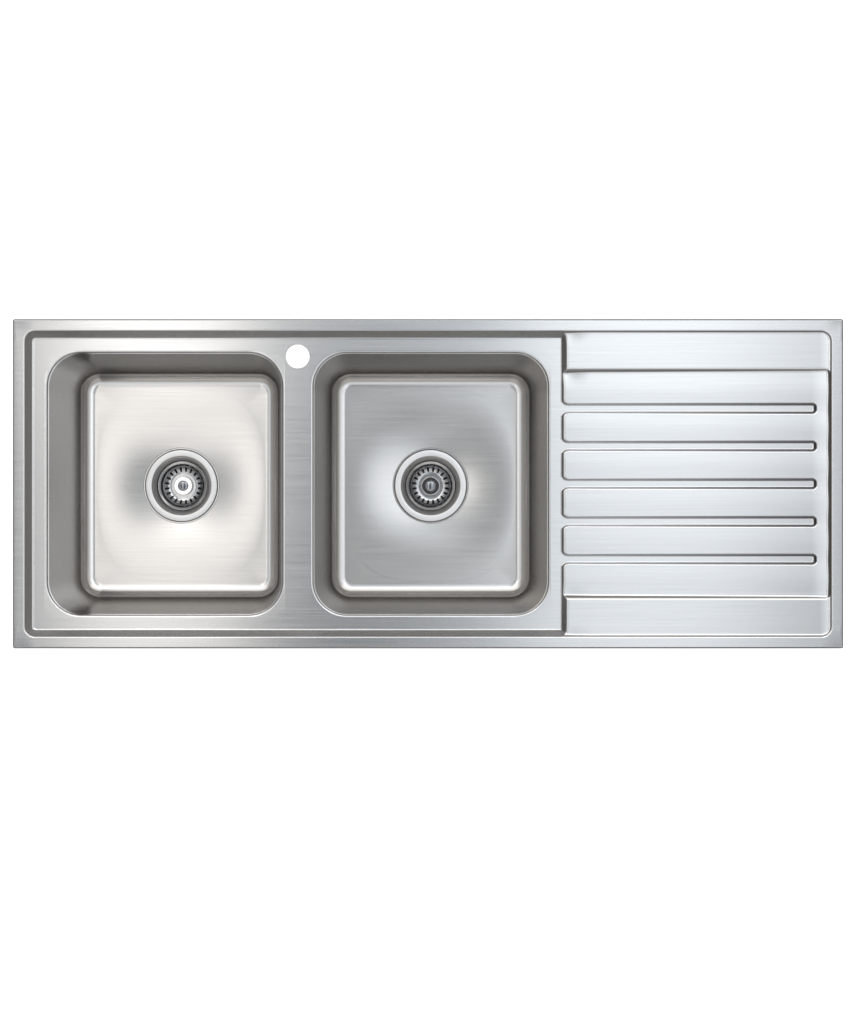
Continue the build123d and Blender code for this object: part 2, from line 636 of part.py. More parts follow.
def stem():
    """Peg of the basket, with a head inside the knob, a collar under the hub and a groove for its ring."""
    shaft = STEM_DIAMETER / 2
    collar_z = SEAL_Z - HUB_LIP - STEM_CLEARANCE
    head_z = KNOB_Z + KNOB_NECK
    end = CUP_FLOOR_Z - STEM_REACH
    groove_z = end + PEG_RING_HEIGHT
    groove = shaft - PEG_RING_WIRE + PEG_RING_PROUD - STEM_CLEARANCE
    return turned(
        (0, end), (shaft - STEM_CHAMFER, end), (shaft, end + STEM_CHAMFER),
        (shaft, groove_z), (groove, groove_z),
        (groove, groove_z + PEG_RING_WIRE + 2 * STEM_CLEARANCE),
        (shaft, groove_z + PEG_RING_WIRE + 2 * STEM_CLEARANCE), (shaft, collar_z - STEM_COLLAR),
        (STEM_COLLAR_DIAMETER / 2, collar_z - STEM_COLLAR), (STEM_COLLAR_DIAMETER / 2, collar_z),
        (shaft, collar_z), (shaft, head_z), (STEM_HEAD_DIAMETER / 2, head_z),
        (STEM_HEAD_DIAMETER / 2, head_z + STEM_HEAD), (0, head_z + STEM_HEAD),
    )


def peg_ring():
    """Split spring ring in the stem's groove."""
    outer = STEM_DIAMETER / 2 + PEG_RING_PROUD
    low = CUP_FLOOR_Z - STEM_REACH + PEG_RING_HEIGHT + STEM_CLEARANCE
    hoop = ring(outer - PEG_RING_WIRE, outer, low, low + PEG_RING_WIRE)
    gap = outer * sin(radians(PEG_RING_GAP / 2))
    return hoop - box_between((0, -gap, low - BITE), (2 * outer, gap, low + BITE))


def knob():
    """Turned knob on the basket's floor, hollow for the head of the stem."""
    neck, head, dome = KNOB_NECK_DIAMETER / 2, KNOB_DIAMETER / 2, KNOB_DOME_DIAMETER / 2
    under = KNOB_Z + KNOB_NECK
    top = under + KNOB_HEAD
    body = turned((0, KNOB_Z), (neck, KNOB_Z), (neck, under), (head, under), (head, top), (0, top))
    body = fillet(circle_edges(body, head, top) + circle_edges(body, head, under), KNOB_EDGE)
    cap = Pos(0, 0, top) * turned_dome(dome, KNOB_DOME)
    bore = ring(0, STEM_BORE, KNOB_Z - BITE, under)
    pocket = ring(
        0, STEM_HEAD_DIAMETER / 2 + KNOB_GAP, under - STEM_CLEARANCE, under + STEM_HEAD + KNOB_GAP
    )
    return body + cap - bore - pocket


def turned_dome(radius, height):
    """Shallow round cap standing on the XY plane."""
    crown = TangentArc((0, 0, height), (radius, 0, 0), tangent=(1, 0, 0))
    rest = Polyline((radius, 0, 0), (0, 0, 0), (0, 0, height))
    return revolve(make_face(crown + rest), Axis.Z)


def save(name, *solids):
    """Write the solids of one node."""
    shape = solids[0] if len(solids) == 1 else Compound(children=list(solids))
    export_step(shape, os.path.join("parts", name + ".step"))


def save_side(side, x):
    """Write one bowl with its pads, waste and basket."""
    place = Pos(x, 0, 0)
    save(side + "_sound_pads", *[place * pad for pad in sound_pads()])
    for name, make in SIDE_PIECES.items():
        save(f"{side}_{name}", place * make())


SIDE_PIECES = {
    "bowl": bowl,
    "waste_flange": waste_flange,
    "flange_gasket": flange_gasket,
    "body_gasket": body_gasket,
    "waste_body": waste_body,
    "boss_insert": boss_insert,
    "clamp_screw": clamp_screw,
    "basket": basket,
    "plug_seal": plug_seal,
    "seal_hub": seal_hub,
    "stem": stem,
    "peg_ring": peg_ring,
    "knob": knob,
}


def main():
    os.makedirs("parts", exist_ok=True)
    save("sink_deck", sink_deck())
    save("rim_seal", *rim_seal())
    for name, solids in zip(("clip_tabs", "fixing_clips", "clip_screws"), clips()):
        save(name, *solids)
    save_side("left", LEFT_BOWL_X)
    save_side("right", RIGHT_BOWL_X)


main()
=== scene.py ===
"""Looks of the inset kitchen sink: pressed satin steel, drawn bowls, basket wastes and the fittings below."""
import json
from math import cos, hypot, pi, radians, sin, tan

import bmesh
import bpy
import numpy as np
from mathutils import Matrix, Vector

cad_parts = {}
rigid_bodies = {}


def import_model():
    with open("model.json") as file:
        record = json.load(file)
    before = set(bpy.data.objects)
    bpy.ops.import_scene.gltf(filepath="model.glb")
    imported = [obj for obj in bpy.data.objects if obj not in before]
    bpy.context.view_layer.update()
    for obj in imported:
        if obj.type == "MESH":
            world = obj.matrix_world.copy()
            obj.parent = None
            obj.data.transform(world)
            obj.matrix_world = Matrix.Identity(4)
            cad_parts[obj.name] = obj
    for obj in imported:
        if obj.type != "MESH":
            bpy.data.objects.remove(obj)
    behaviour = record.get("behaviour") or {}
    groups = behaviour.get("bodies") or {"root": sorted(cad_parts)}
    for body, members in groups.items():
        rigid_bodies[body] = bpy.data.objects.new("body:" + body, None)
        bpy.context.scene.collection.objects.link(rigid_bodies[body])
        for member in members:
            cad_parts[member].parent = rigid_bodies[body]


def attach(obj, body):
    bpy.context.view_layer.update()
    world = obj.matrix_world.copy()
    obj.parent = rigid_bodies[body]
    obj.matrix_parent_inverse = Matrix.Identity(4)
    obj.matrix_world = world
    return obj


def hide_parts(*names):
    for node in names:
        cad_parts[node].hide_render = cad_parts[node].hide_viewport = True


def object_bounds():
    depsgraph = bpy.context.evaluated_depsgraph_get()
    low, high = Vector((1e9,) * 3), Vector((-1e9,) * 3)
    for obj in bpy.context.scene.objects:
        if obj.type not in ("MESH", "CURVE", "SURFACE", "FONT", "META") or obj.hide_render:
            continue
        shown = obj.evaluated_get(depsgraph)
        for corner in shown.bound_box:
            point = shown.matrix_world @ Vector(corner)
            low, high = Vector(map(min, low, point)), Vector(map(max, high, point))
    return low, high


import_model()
cad_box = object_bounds()

# Metres in a millimetre
MM = 0.001

# Pressed sheet and bowls in millimetres and degrees, as in the part
SHEET = 0.9
SINK_WIDTH, SINK_DEPTH = 1235.0, 490.0
OUTER_CORNER = 3.0
RIM_WIDTH, RIM_HEIGHT, RIM_FOLD = 17.0, 4.0, 2.5
WALL_LEAN = 35.0
DECK_DROP, PANEL_DROP = 11.0, 3.0
LAND_DROP_AT_BOWLS, LAND_DROP_AT_END = 8.0, 6.0
RECESS_CORNER, BEND_RADIUS = 16.0, 2.0
PANEL_WIDTH, FIELD_CORNER = 57.0, 10.0
GROOVE_COUNT, GROOVE_PITCH, GROOVE_FLOOR_WIDTH = 5, 56.2, 9.0
GROOVE_END_RADIUS, GROOVE_END_MARGIN, LAND_CORNER = 3.0, 25.0, 1.2
BOWL_WIDTH, BOWL_DEPTH, BOWL_CORNER, BOWL_LEAN = 350.0, 190.0, 50.0, 6.0
BOWL_FLOOR_RADIUS, BOWL_ROLL = 22.0, 4.0
BOWL_MARGIN, BOWL_SPACING, DRAINER_MARGIN, SEAM_DROP = 24.8, 47.0, 19.8, 8.0
TAP_HOLE_DIAMETER, TAP_HOLE_SETBACK = 35.0, 55.0
DISH_DROP, SEAT_DIAMETER, SEAT_DROP = 2.5, 121.0, 3.5
WASTE_HOLE_DIAMETER = 90.0

# Pressed sheet and bowls, where the look differs from the part or adds to it
DECK_END_CORNER, BROW_EASE = 10.0, 2.4
STEP_RUN, LAND_RUN, DECK_FOOT_RADIUS, LAND_FOOT_RADIUS = 10.4, 1.05, 2.6, 3.0
DISH_FALL, DISH_CURVE_ACROSS, DISH_CURVE_ALONG = 4.9, 1.7, 2.4
DIP_DEPTH, DIP_REACH, DIP_STRETCH, DIP_X = 1.0, 9.0, 1.6, 9.0
FRONT_DIP_DEPTH = DIP_DEPTH / 3
DROOP_DEPTH, DROOP_REACH = 1.0, 34.0
LAND_CROWN = 0.6
PANEL_SWEEP, LAND_SWEEP = (16.0, 0.5), (28.0, 0.9)

# How far the cuts in the sheet's grid lie outside the bowls and about the tap hole, and a hair's breadth
COLLAR_CUT, TAP_CUT = 4.2, 18.6
HAIR = 0.01

WALL_RUN = tan(radians(WALL_LEAN))
DECK_RUN = DECK_DROP * WALL_RUN
RECESS_X = SINK_WIDTH / 2 - RIM_WIDTH
RECESS_Y = SINK_DEPTH / 2 - RIM_WIDTH
DECK_Z = RIM_HEIGHT - DECK_DROP
SEAM_Z = DECK_Z - SEAM_DROP
FLOOR_Z = DECK_Z - BOWL_DEPTH
BOWL_LENGTH = 2 * (RECESS_Y - DECK_RUN - BOWL_MARGIN)
LEFT_BOWL_X = -RECESS_X + DECK_RUN + BOWL_MARGIN + BOWL_WIDTH / 2
RIGHT_BOWL_X = LEFT_BOWL_X + BOWL_WIDTH + BOWL_SPACING
TAP_HOLE_X = (LEFT_BOWL_X + RIGHT_BOWL_X) / 2
TAP_HOLE_Y = SINK_DEPTH / 2 - TAP_HOLE_SETBACK
DECK_END = RIGHT_BOWL_X + BOWL_WIDTH / 2 + DRAINER_MARGIN
DRAINER_LENGTH = RECESS_X - DECK_END
FIELD_WIDTH = 2 * (RECESS_Y - PANEL_WIDTH)
SEAT_Z = FLOOR_Z - DISH_DROP - SEAT_DROP

# Radii, lengths and heights of the basket wastes in millimetres
FLANGE, FLANGE_CROWN, CROWN_MIDDLE, CROWN_HALF = 57.0, 0.25, 52.0, 4.4
CUP_SHEET, CUP_DEPTH, CUP_BASE = 1.0, 37.0, 40.0
FUNNEL_BROW, FUNNEL_THROAT, CUP_TOP = 47.4, 44.6, 40.6
WELL, WELL_DEPTH, SCREW_HOLE = 12.0, 6.0, 6.3
DRAIN_HOLE_RINGS = ((8, 9.0, 19.5), (14, 6.0, 28.5))
SEAT_SEAL, SEAT_SEAL_HEIGHT = (48.5, 58.2), 1.5
UNDER_SEAL, UNDER_SEAL_HEIGHT = (47.0, 55.5), 3.0
BODY_BORE, BARREL, OUTLET, OUTLET_END, OUTLET_BORE = 47.0, 50.5, 29.8, 28.6, 24.5
BOSS, BOSS_LENGTH, INSERT_POCKET = 12.0, 21.0, 9.05
INSERT, INSERT_BORE, INSERT_LENGTH = 9.0, 6.05, 16.0
RIB_COUNT, RIB_MIDDLE, RIB_TAPER = 3, 29.5, 13.6
RIB_LENGTH, RIB_WIDTH, RIB_HEIGHT = 36.0, 3.0, 14.0
SCREW, SCREW_CORE, SCREW_LENGTH = 6.0, 5.4, 28.0
SCREW_HEAD, SCREW_HEAD_HEIGHT, SOCKET, SOCKET_DEPTH = 9.0, 3.0, 4.3, 24.0
DRIVER_SLOT = (40.0, 2.0, 3.0)
BASKET_SHEET, BASKET_HEIGHT, PEG_BORE = 0.7, 18.0, 4.06
SLOT_COUNT, SLOT_START, SLOT_END, SLOT_SHARE = 20, 22.8, 29.6, (0.29, 0.71)
DISC, DISC_BORE = 33.5, 9.0
HUB, HUB_NECK, HUB_LIP, HUB_LIP_HEIGHT = 20.0, 8.9, 10.6, 1.4
PEG, PEG_REACH, PEG_COLLAR, PEG_HEAD = 4.0, 22.0, 6.0, 5.2
RING_GROOVE, RING_RADIUS, RING_WIRE, RING_GAP = 3.19, 3.7, 0.44, 40.0
KNOB, KNOB_NECK, KNOB_UNDER, KNOB_TOP = 15.0, 6.5, 4.0, 7.4
DOME, DOME_RISE = 8.5, 2.4

FLANGE_Z = SEAT_Z + SEAT_SEAL_HEIGHT
CUP_FLOOR_Z = FLANGE_Z - CUP_DEPTH
WELL_FLOOR_Z = CUP_FLOOR_Z - WELL_DEPTH
SEAL_Z, HUB_Z = CUP_FLOOR_Z + 0.2, CUP_FLOOR_Z + 3.0
BASKET_Z = CUP_FLOOR_Z + 8.0
KNOB_Z = BASKET_Z + BASKET_SHEET
BODY_Z = SEAT_Z - SHEET - UNDER_SEAL_HEIGHT
BARREL_END_Z, CONE_END_Z, OUTLET_END_Z = BODY_Z - 42.0, BODY_Z - 64.0, BODY_Z - 94.0
BOSS_Z = WELL_FLOOR_Z - 4.0

# Where the photograph was taken from, in metres
CAMERA_X, CAMERA_Y, CAMERA_DISTANCE, FRAME_WIDTH = 0.0014, -0.042, 2.86, 1.522


# Modelling helpers

def begin():
    """Object mode with nothing selected."""
    if bpy.context.mode != "OBJECT":
        bpy.ops.object.mode_set(mode="OBJECT")
    bpy.ops.object.select_all(action="DESELECT")


def pick(piece):
    """Object mode with this piece alone selected and active."""
    begin()
    piece.select_set(True)
    bpy.context.view_layer.objects.active = piece


def place_on_origin(piece):
    """The piece's place goes into its mesh."""
    pick(piece)
    bpy.ops.object.transform_apply(location=True, rotation=True, scale=True)


def apply_modifier(piece, kind, **settings):
    """Adds a modifier with its settings and applies it."""
    pick(piece)
    modifier = piece.modifiers.new(kind.lower(), kind)
    for key, value in settings.items():
        setattr(modifier, key, value)
    bpy.ops.object.modifier_apply(modifier=modifier.name)


def smooth(piece, angle=40.0):
    """Smooth shading that keeps sharp corners and leaves flats flat."""
    pick(piece)
    bpy.ops.object.shade_smooth_by_angle(angle=radians(angle))
    apply_modifier(piece, "WEIGHTED_NORMAL", keep_sharp=True, weight=80)
    return piece


def joined_pieces(name, pieces):
    """One piece made of several."""
    begin()
    for piece in pieces:
        piece.select_set(True)
    bpy.context.view_layer.objects.active = pieces[0]
    if len(pieces) > 1:
        bpy.ops.object.join()
    pieces[0].name = name
    return pieces[0]


def select_in(piece, kind, wanted):
    """Edit mode with the edges or faces that answer the test selected."""
    pick(piece)
    bpy.ops.object.mode_set(mode="EDIT")
    bpy.ops.mesh.select_mode(type=kind)
    bpy.ops.mesh.select_all(action="DESELECT")
    mesh = bmesh.from_edit_mesh(piece.data)
    for element in mesh.edges if kind == "EDGE" else mesh.faces:
        if wanted(element):
            element.select_set(True)
    bmesh.update_edit_mesh(piece.data)


def bent(points, steps=6):
    """Path of (radius, height) through (radius, height, bend) corners, with each corner rounded by its bend."""
    path = [points[0][:2]]
    for before, here, after in zip(points, points[1:], points[2:]):
        bend = here[2] if len(here) > 2 else 0
        to_back = (before[0] - here[0], before[1] - here[1])
        to_next = (after[0] - here[0], after[1] - here[1])
        long_back, long_next = hypot(*to_back), hypot(*to_next)
        if not bend:
            path.append(here[:2])
            continue
        back = (to_back[0] / long_back, to_back[1] / long_back)
        ahead = (to_next[0] / long_next, to_next[1] / long_next)
        half = np.arccos(np.clip(back[0] * ahead[0] + back[1] * ahead[1], -1, 1)) / 2
        reach = bend / tan(half)
        middle = (back[0] + ahead[0], back[1] + ahead[1])
        scale = bend / sin(half) / hypot(*middle)
        centre = (here[0] + middle[0] * scale, here[1] + middle[1] * scale)
        first = (here[0] + back[0] * reach - centre[0], here[1] + back[1] * reach - centre[1])
        last = (here[0] + ahead[0] * reach - centre[0], here[1] + ahead[1] * reach - centre[1])
        turn = np.arctan2(first[0] * last[1] - first[1] * last[0], first[0] * last[0] + first[1] * last[1])
        for step in range(steps + 1):
            a = turn * step / steps
            path.append((
                centre[0] + first[0] * cos(a) - first[1] * sin(a),
                centre[1] + first[0] * sin(a) + first[1] * cos(a),
            ))
    path.append(points[-1][:2])
    return path


def turned(name, path, segments=128, closed=False):
    """Piece turned about the Z axis: a circle drawn out ring by ring along a path of (radius, height)."""
    begin()
    radius, height = path[0]
    start = "NGON" if closed else "NOTHING"
    bpy.ops.mesh.primitive_circle_add(
        vertices=segments, radius=radius * MM, fill_type=start, location=(0, 0, height * MM))
    piece = bpy.context.object
    piece.name = name
    bpy.ops.object.mode_set(mode="EDIT")
    bpy.ops.mesh.select_all(action="SELECT")
    for next_radius, next_height in path[1:]:
        move = (0, 0, (next_height - height) * MM)
        bpy.ops.mesh.extrude_edges_move(TRANSFORM_OT_translate={"value": move})
        grow = next_radius / radius
        bpy.ops.transform.resize(value=(grow, grow, 1), center_override=(0, 0, next_height * MM))
        radius, height = next_radius, next_height
    bpy.ops.mesh.select_all(action="SELECT")
    bpy.ops.mesh.remove_doubles(threshold=1e-6)
    bpy.ops.mesh.normals_make_consistent(inside=False)
    place_on_origin(piece)
    return piece


def rounded_plate(name, x, half_width, half_length, corner, height, segments=20):
    """Flat plate with rounded corners."""
    begin()
    bpy.ops.mesh.primitive_plane_add(size=2, location=(x * MM, 0, height * MM))
    plate = bpy.context.object
    plate.name = name
    plate.scale = (half_width * MM, half_length * MM, 1)
    place_on_origin(plate)
    bpy.ops.object.mode_set(mode="EDIT")
    bpy.ops.mesh.select_all(action="SELECT")
    bpy.ops.mesh.bevel(offset=corner * MM, segments=segments, affect="VERTICES", clamp_overlap=False)
    return plate


def draw_down(path):
    """Draws the selected face in and down along a path of (way in, height)."""
    for (way, height), (next_way, next_height) in zip(path, path[1:]):
        bpy.ops.mesh.inset(
            thickness=(next_way - way) * MM, depth=(next_height - height) * MM, use_even_offset=True)


def fill_between(piece, wanted):
    """Flat faces between the open edges that answer the test."""
    select_in(piece, "EDGE", lambda edge: edge.is_boundary and all(wanted(v.co) for v in edge.verts))
    bpy.ops.mesh.fill(use_beauty=True)
    begin()


def coat(piece, finish):
    """Gives a piece its one finish."""
    piece.data.materials.clear()
    piece.data.materials.append(finish)


def copied(piece, name, x):
    """Copy of a piece with its own mesh, moved along X."""
    twin = piece.copy()
    twin.data = piece.data.copy()
    twin.name = name
    twin.data.transform(Matrix.Translation((x * MM, 0, 0)))
    bpy.context.scene.collection.objects.link(twin)
    return twin


# Pressed deck

def inside_outline(x, y, x_min, x_max, y_middle, y_half, corner):
    """Distance inside the edge of an outline with rounded corners, negative outside it."""
    across = np.abs(x - (x_min + x_max) / 2) - ((x_max - x_min) / 2 - corner)
    along = np.abs(y - y_middle) - (y_half - corner)
    outside = np.hypot(np.maximum(across, 0), np.maximum(along, 0))
    return corner - outside - np.minimum(np.maximum(across, along), 0)


def pressed_wall(inside, drop, foot_radius):
    """Depth across a leaning wall with a bend at its brow and a wider one at its foot."""
    slope = radians(90 - WALL_LEAN)
    bend = BEND_RADIUS * tan(slope / 2)
    foot_bend = foot_radius * tan(slope / 2)
    foot = drop * WALL_RUN
    brow_arc = BEND_RADIUS - np.sqrt(np.maximum(BEND_RADIUS ** 2 - (inside + bend) ** 2, 0))
    foot_arc = drop - foot_radius + np.sqrt(np.maximum(foot_radius ** 2 - (foot + foot_bend - inside) ** 2, 0))
    depth = np.where(inside < foot - foot_bend * cos(slope), inside / WALL_RUN, foot_arc)
    depth = np.where(inside < foot + foot_bend, depth, drop)
    depth = np.where(inside < bend * cos(slope), brow_arc, depth)
    return np.where(inside < -bend, 0, depth)


def both_outlines(first, second):
    """Distance inside two outlines joined, with a small bend at the corner where they meet."""
    corner = np.hypot(first + LAND_CORNER, second + LAND_CORNER) - LAND_CORNER
    meeting = (first > -LAND_CORNER) & (second > -LAND_CORNER)
    return np.where(meeting, corner, np.maximum(first, second))


def eased_max(first, second, ease):
    """The deeper of two depths, with the brow between them rounded."""
    near = np.maximum(ease - np.abs(first - second), 0)
    return np.maximum(first, second) + near * near / (4 * np.maximum(ease, 1e-6))


def pressed_depth(x, y):
    """Depth of the pressed deck and drainer below the rim."""
    recess = inside_outline(x, y, -RECESS_X, RECESS_X, 0, RECESS_Y, RECESS_CORNER)
    ease = BROW_EASE * np.clip((recess - 2) / 4, 0, 1)
    start = DECK_END - DECK_RUN - 2 * RECESS_CORNER
    deck = inside_outline(x, y, -2 * RECESS_X, DECK_END + STEP_RUN, 0, RECESS_Y, DECK_END_CORNER)
    deck = np.minimum(deck, recess) * DECK_RUN / STEP_RUN
    far = RECESS_X - GROOVE_END_MARGIN + DECK_RUN
    for place in range(GROOVE_COUNT):
        middle = (place - (GROOVE_COUNT - 1) / 2) * GROOVE_PITCH
        half = GROOVE_FLOOR_WIDTH / 2 + DECK_RUN
        groove = inside_outline(x, y, DECK_END - 60, far, middle, half, GROOVE_END_RADIUS + DECK_RUN)
        deck = both_outlines(deck, groove)
    deck_foot = np.interp(x, [DECK_END - 12, DECK_END - 2], [DECK_FOOT_RADIUS, BEND_RADIUS])
    deck = pressed_wall(deck, DECK_DROP, deck_foot)
    sides = inside_outline(x, y, start, RECESS_X, 0, RECESS_Y, RECESS_CORNER) * WALL_RUN / LAND_RUN
    panel_drop = PANEL_DROP - end_sweep(x, *PANEL_SWEEP) + corner_dip(x, y, RECESS_Y - 4)
    panel = pressed_wall(sides, panel_drop, LAND_FOOT_RADIUS)
    fall = (LAND_DROP_AT_BOWLS - LAND_DROP_AT_END) / DRAINER_LENGTH
    field = inside_outline(x, y, start, RECESS_X, 0, FIELD_WIDTH / 2 + PANEL_DROP * LAND_RUN, FIELD_CORNER)
    field *= WALL_RUN / LAND_RUN
    crown = LAND_CROWN * np.cos(pi * (y / GROOVE_PITCH - 0.5)) ** 2
    drop = LAND_DROP_AT_BOWLS - (x - DECK_END) * fall - end_sweep(x, *LAND_SWEEP) - crown
    land = pressed_wall(field, drop + corner_dip(x, y, FIELD_WIDTH / 2 - 6), LAND_FOOT_RADIUS)
    return eased_max(eased_max(panel, land, ease), deck, ease)


def end_sweep(x, length, rise):
    """Gentle rise of the sheet towards the wall at the drainer's right end."""
    share = np.clip((x - RECESS_X + PANEL_DROP * WALL_RUN + length) / length, 0, 1)
    return rise * share ** 2


def corner_dip(x, y, y_place):
    """Shallow dip that the press leaves in the drainer's corners at the bowl end, less at the front."""
    reach = ((x - DECK_END - DIP_X) / DIP_STRETCH) ** 2 + (np.abs(y) - y_place) ** 2
    return np.where(y > 0, DIP_DEPTH, FRONT_DIP_DEPTH) * np.exp(-reach / (2 * DIP_REACH ** 2))


def rim_droop(x, y):
    """Slight fall of the rim towards its outer corners."""
    reach = np.hypot(np.abs(x) - SINK_WIDTH / 2, np.abs(y) - SINK_DEPTH / 2)
    return DROOP_DEPTH * np.clip(1 - reach / DROOP_REACH, 0, 1) ** 2


def line_places(*stretches):
    """Places of grid lines from (start, end, step) stretches."""
    places = [np.linspace(a, b, max(2, round((b - a) / step) + 1)) for a, b, step in stretches]
    places = np.sort(np.concatenate(places))
    return places[np.concatenate([[True], np.diff(places) > 0.05])]


def deck_lines():
    """Grid lines that are close together across every bend of the deck."""
    half_x, half_y = SINK_WIDTH / 2, SINK_DEPTH / 2
    collar = BOWL_WIDTH / 2 + COLLAR_CUT
    cuts = [place for x in (LEFT_BOWL_X, RIGHT_BOWL_X) for place in (x - collar, x + collar)]
    cuts += [TAP_HOLE_X - TAP_CUT, TAP_HOLE_X + TAP_CUT]
    across = line_places(
        (-half_x, RIM_FOLD - half_x, 0.4), (RIM_FOLD - half_x, -RECESS_X - 1.5, 3),
        (-RECESS_X - 1.5, -RECESS_X + 11, 0.5), (-RECESS_X + 11, -RECESS_X + 18, 1),
        (-RECESS_X + 18, DECK_END - 13, 34), (-RECESS_X + 18, -RECESS_X + 36, 6),
        *[(cut, cut, 1) for cut in cuts],
        (DECK_END - 13, DECK_END - 2.5, 1), (DECK_END - 2.5, DECK_END + 12, 0.5),
        (DECK_END + 12, DECK_END + 44, 2.5), (DECK_END + 44, RECESS_X - 33, 46),
        (RECESS_X - 33, RECESS_X - 15, 0.75), (RECESS_X - 15, RECESS_X - 9.5, 1),
        (RECESS_X - 9.5, RECESS_X + 1.5, 0.5), (RECESS_X + 1.5, half_x - RIM_FOLD, 3),
        (half_x - RIM_FOLD, half_x, 0.4),
    )
    edge = FIELD_WIDTH / 2
    rows = [(RECESS_Y - 11, RECESS_Y + 1.5, 0.5), (RECESS_Y - 18, RECESS_Y - 11, 1),
            (edge + 4, RECESS_Y - 18, 3), (edge - 9, edge + 4, 0.4), (edge - 44, edge - 9, 3),
            (RECESS_Y + 1.5, half_y - RIM_FOLD, 3), (half_y - RIM_FOLD, half_y, 0.4)]
    rows += [(-b, -a, step) for a, b, step in rows]
    for place in range(GROOVE_COUNT):
        middle = (place - (GROOVE_COUNT - 1) / 2) * GROOVE_PITCH
        rows += [(middle - 10.5, middle - 3, 0.42), (middle + 3, middle + 10.5, 0.42)]
    cut = BOWL_LENGTH / 2 + COLLAR_CUT
    rows += [(-cut, -cut, 1), (cut, cut, 1), (TAP_HOLE_Y - TAP_CUT, TAP_HOLE_Y - TAP_CUT, 1)]
    rows += [(TAP_HOLE_Y + TAP_CUT, TAP_HOLE_Y + TAP_CUT, 1), (-edge + 44, edge - 44, 4.4)]
    return across, line_places(*rows)


def rim_corner(x, y):
    """Grid points at the four outer corners drawn in to a small radius, with their distance inside the edge."""
    over_x = np.abs(x) - (SINK_WIDTH / 2 - OUTER_CORNER)
    over_y = np.abs(y) - (SINK_DEPTH / 2 - OUTER_CORNER)
    corner = (over_x > 0) & (over_y > 0)
    most = np.maximum(over_x, over_y)
    share = np.where(corner, most / np.maximum(np.hypot(over_x, over_y), 1e-9), 1)
    new_x = np.where(corner, np.sign(x) * (SINK_WIDTH / 2 - OUTER_CORNER + over_x * share), x)
    new_y = np.where(corner, np.sign(y) * (SINK_DEPTH / 2 - OUTER_CORNER + over_y * share), y)
    return new_x, new_y, OUTER_CORNER - most


def pressed_sheet():
    """Upper face of the deck as a grid pressed to its depth, with the bowls and the tap hole cut out."""
    across, rows = deck_lines()
    begin()
    bpy.ops.mesh.primitive_grid_add(x_subdivisions=len(across) - 1, y_subdivisions=len(rows) - 1, size=1)
    sheet = bpy.context.object
    x, y = np.meshgrid(across, rows)
    x, y, edge = rim_corner(x, y)
    fold = np.maximum(RIM_FOLD - edge, 0)
    depth = pressed_depth(x, y) + RIM_FOLD * (fold / RIM_FOLD) ** 1.5
    depth += rim_droop(x, y) * np.clip(edge / RIM_FOLD, 0, 1)
    points = np.stack([x, y, RIM_HEIGHT - depth], axis=-1) * MM
    sheet.data.vertices.foreach_set("co", points.astype(np.float32).ravel())
    sheet.data.update()

    def cut_out(face):
        place = face.calc_center_median() / MM
        for bowl_x in (LEFT_BOWL_X, RIGHT_BOWL_X):
            off_x, off_y = abs(place.x - bowl_x), abs(place.y)
            if off_x < BOWL_WIDTH / 2 + COLLAR_CUT and off_y < BOWL_LENGTH / 2 + COLLAR_CUT:
                return True
        return abs(place.x - TAP_HOLE_X) < TAP_CUT and abs(place.y - TAP_HOLE_Y) < TAP_CUT

    select_in(sheet, "FACE", cut_out)
    bpy.ops.mesh.delete(type="FACE")
    edge_z = (RIM_HEIGHT - RIM_FOLD + HAIR) * MM
    outer = (SINK_WIDTH / 2 - 4) * MM, (SINK_DEPTH / 2 - 4) * MM
    select_in(sheet, "EDGE", lambda e: e.is_boundary and all(
        v.co.z < edge_z and (abs(v.co.x) > outer[0] or abs(v.co.y) > outer[1]) for v in e.verts))
    bpy.ops.mesh.extrude_edges_move(TRANSFORM_OT_translate={"value": (0, 0, (RIM_FOLD - RIM_HEIGHT) * MM)})
    bpy.ops.mesh.select_all(action="SELECT")
    bpy.ops.mesh.dissolve_limited(angle_limit=radians(0.05))
    begin()
    return sheet


def wall_path(start_z):
    """Path of a bowl's wall down to its rounded floor, as (way in from the sharp edge, height)."""
    lean = tan(radians(BOWL_LEAN))
    corners = [((DECK_Z - start_z) * lean, start_z), (BOWL_DEPTH * lean, FLOOR_Z, BOWL_FLOOR_RADIUS),
               (BOWL_DEPTH * lean + 60, FLOOR_Z)]
    return bent(corners, steps=12)[:-1]


def collar(x):
    """Rolled edge of a bowl's opening, down to the weld seam."""
    lean = tan(radians(BOWL_LEAN))
    path = bent([(-30, DECK_Z), (0, DECK_Z, BOWL_ROLL), (SEAM_DROP * lean, SEAM_Z)], steps=8)[1:]
    way = path[0][0]
    ring = rounded_plate("collar", x, BOWL_WIDTH / 2 - way, BOWL_LENGTH / 2 - way, BOWL_CORNER - way, DECK_Z)
    draw_down(path)
    bpy.ops.mesh.delete(type="FACE")
    begin()
    return ring


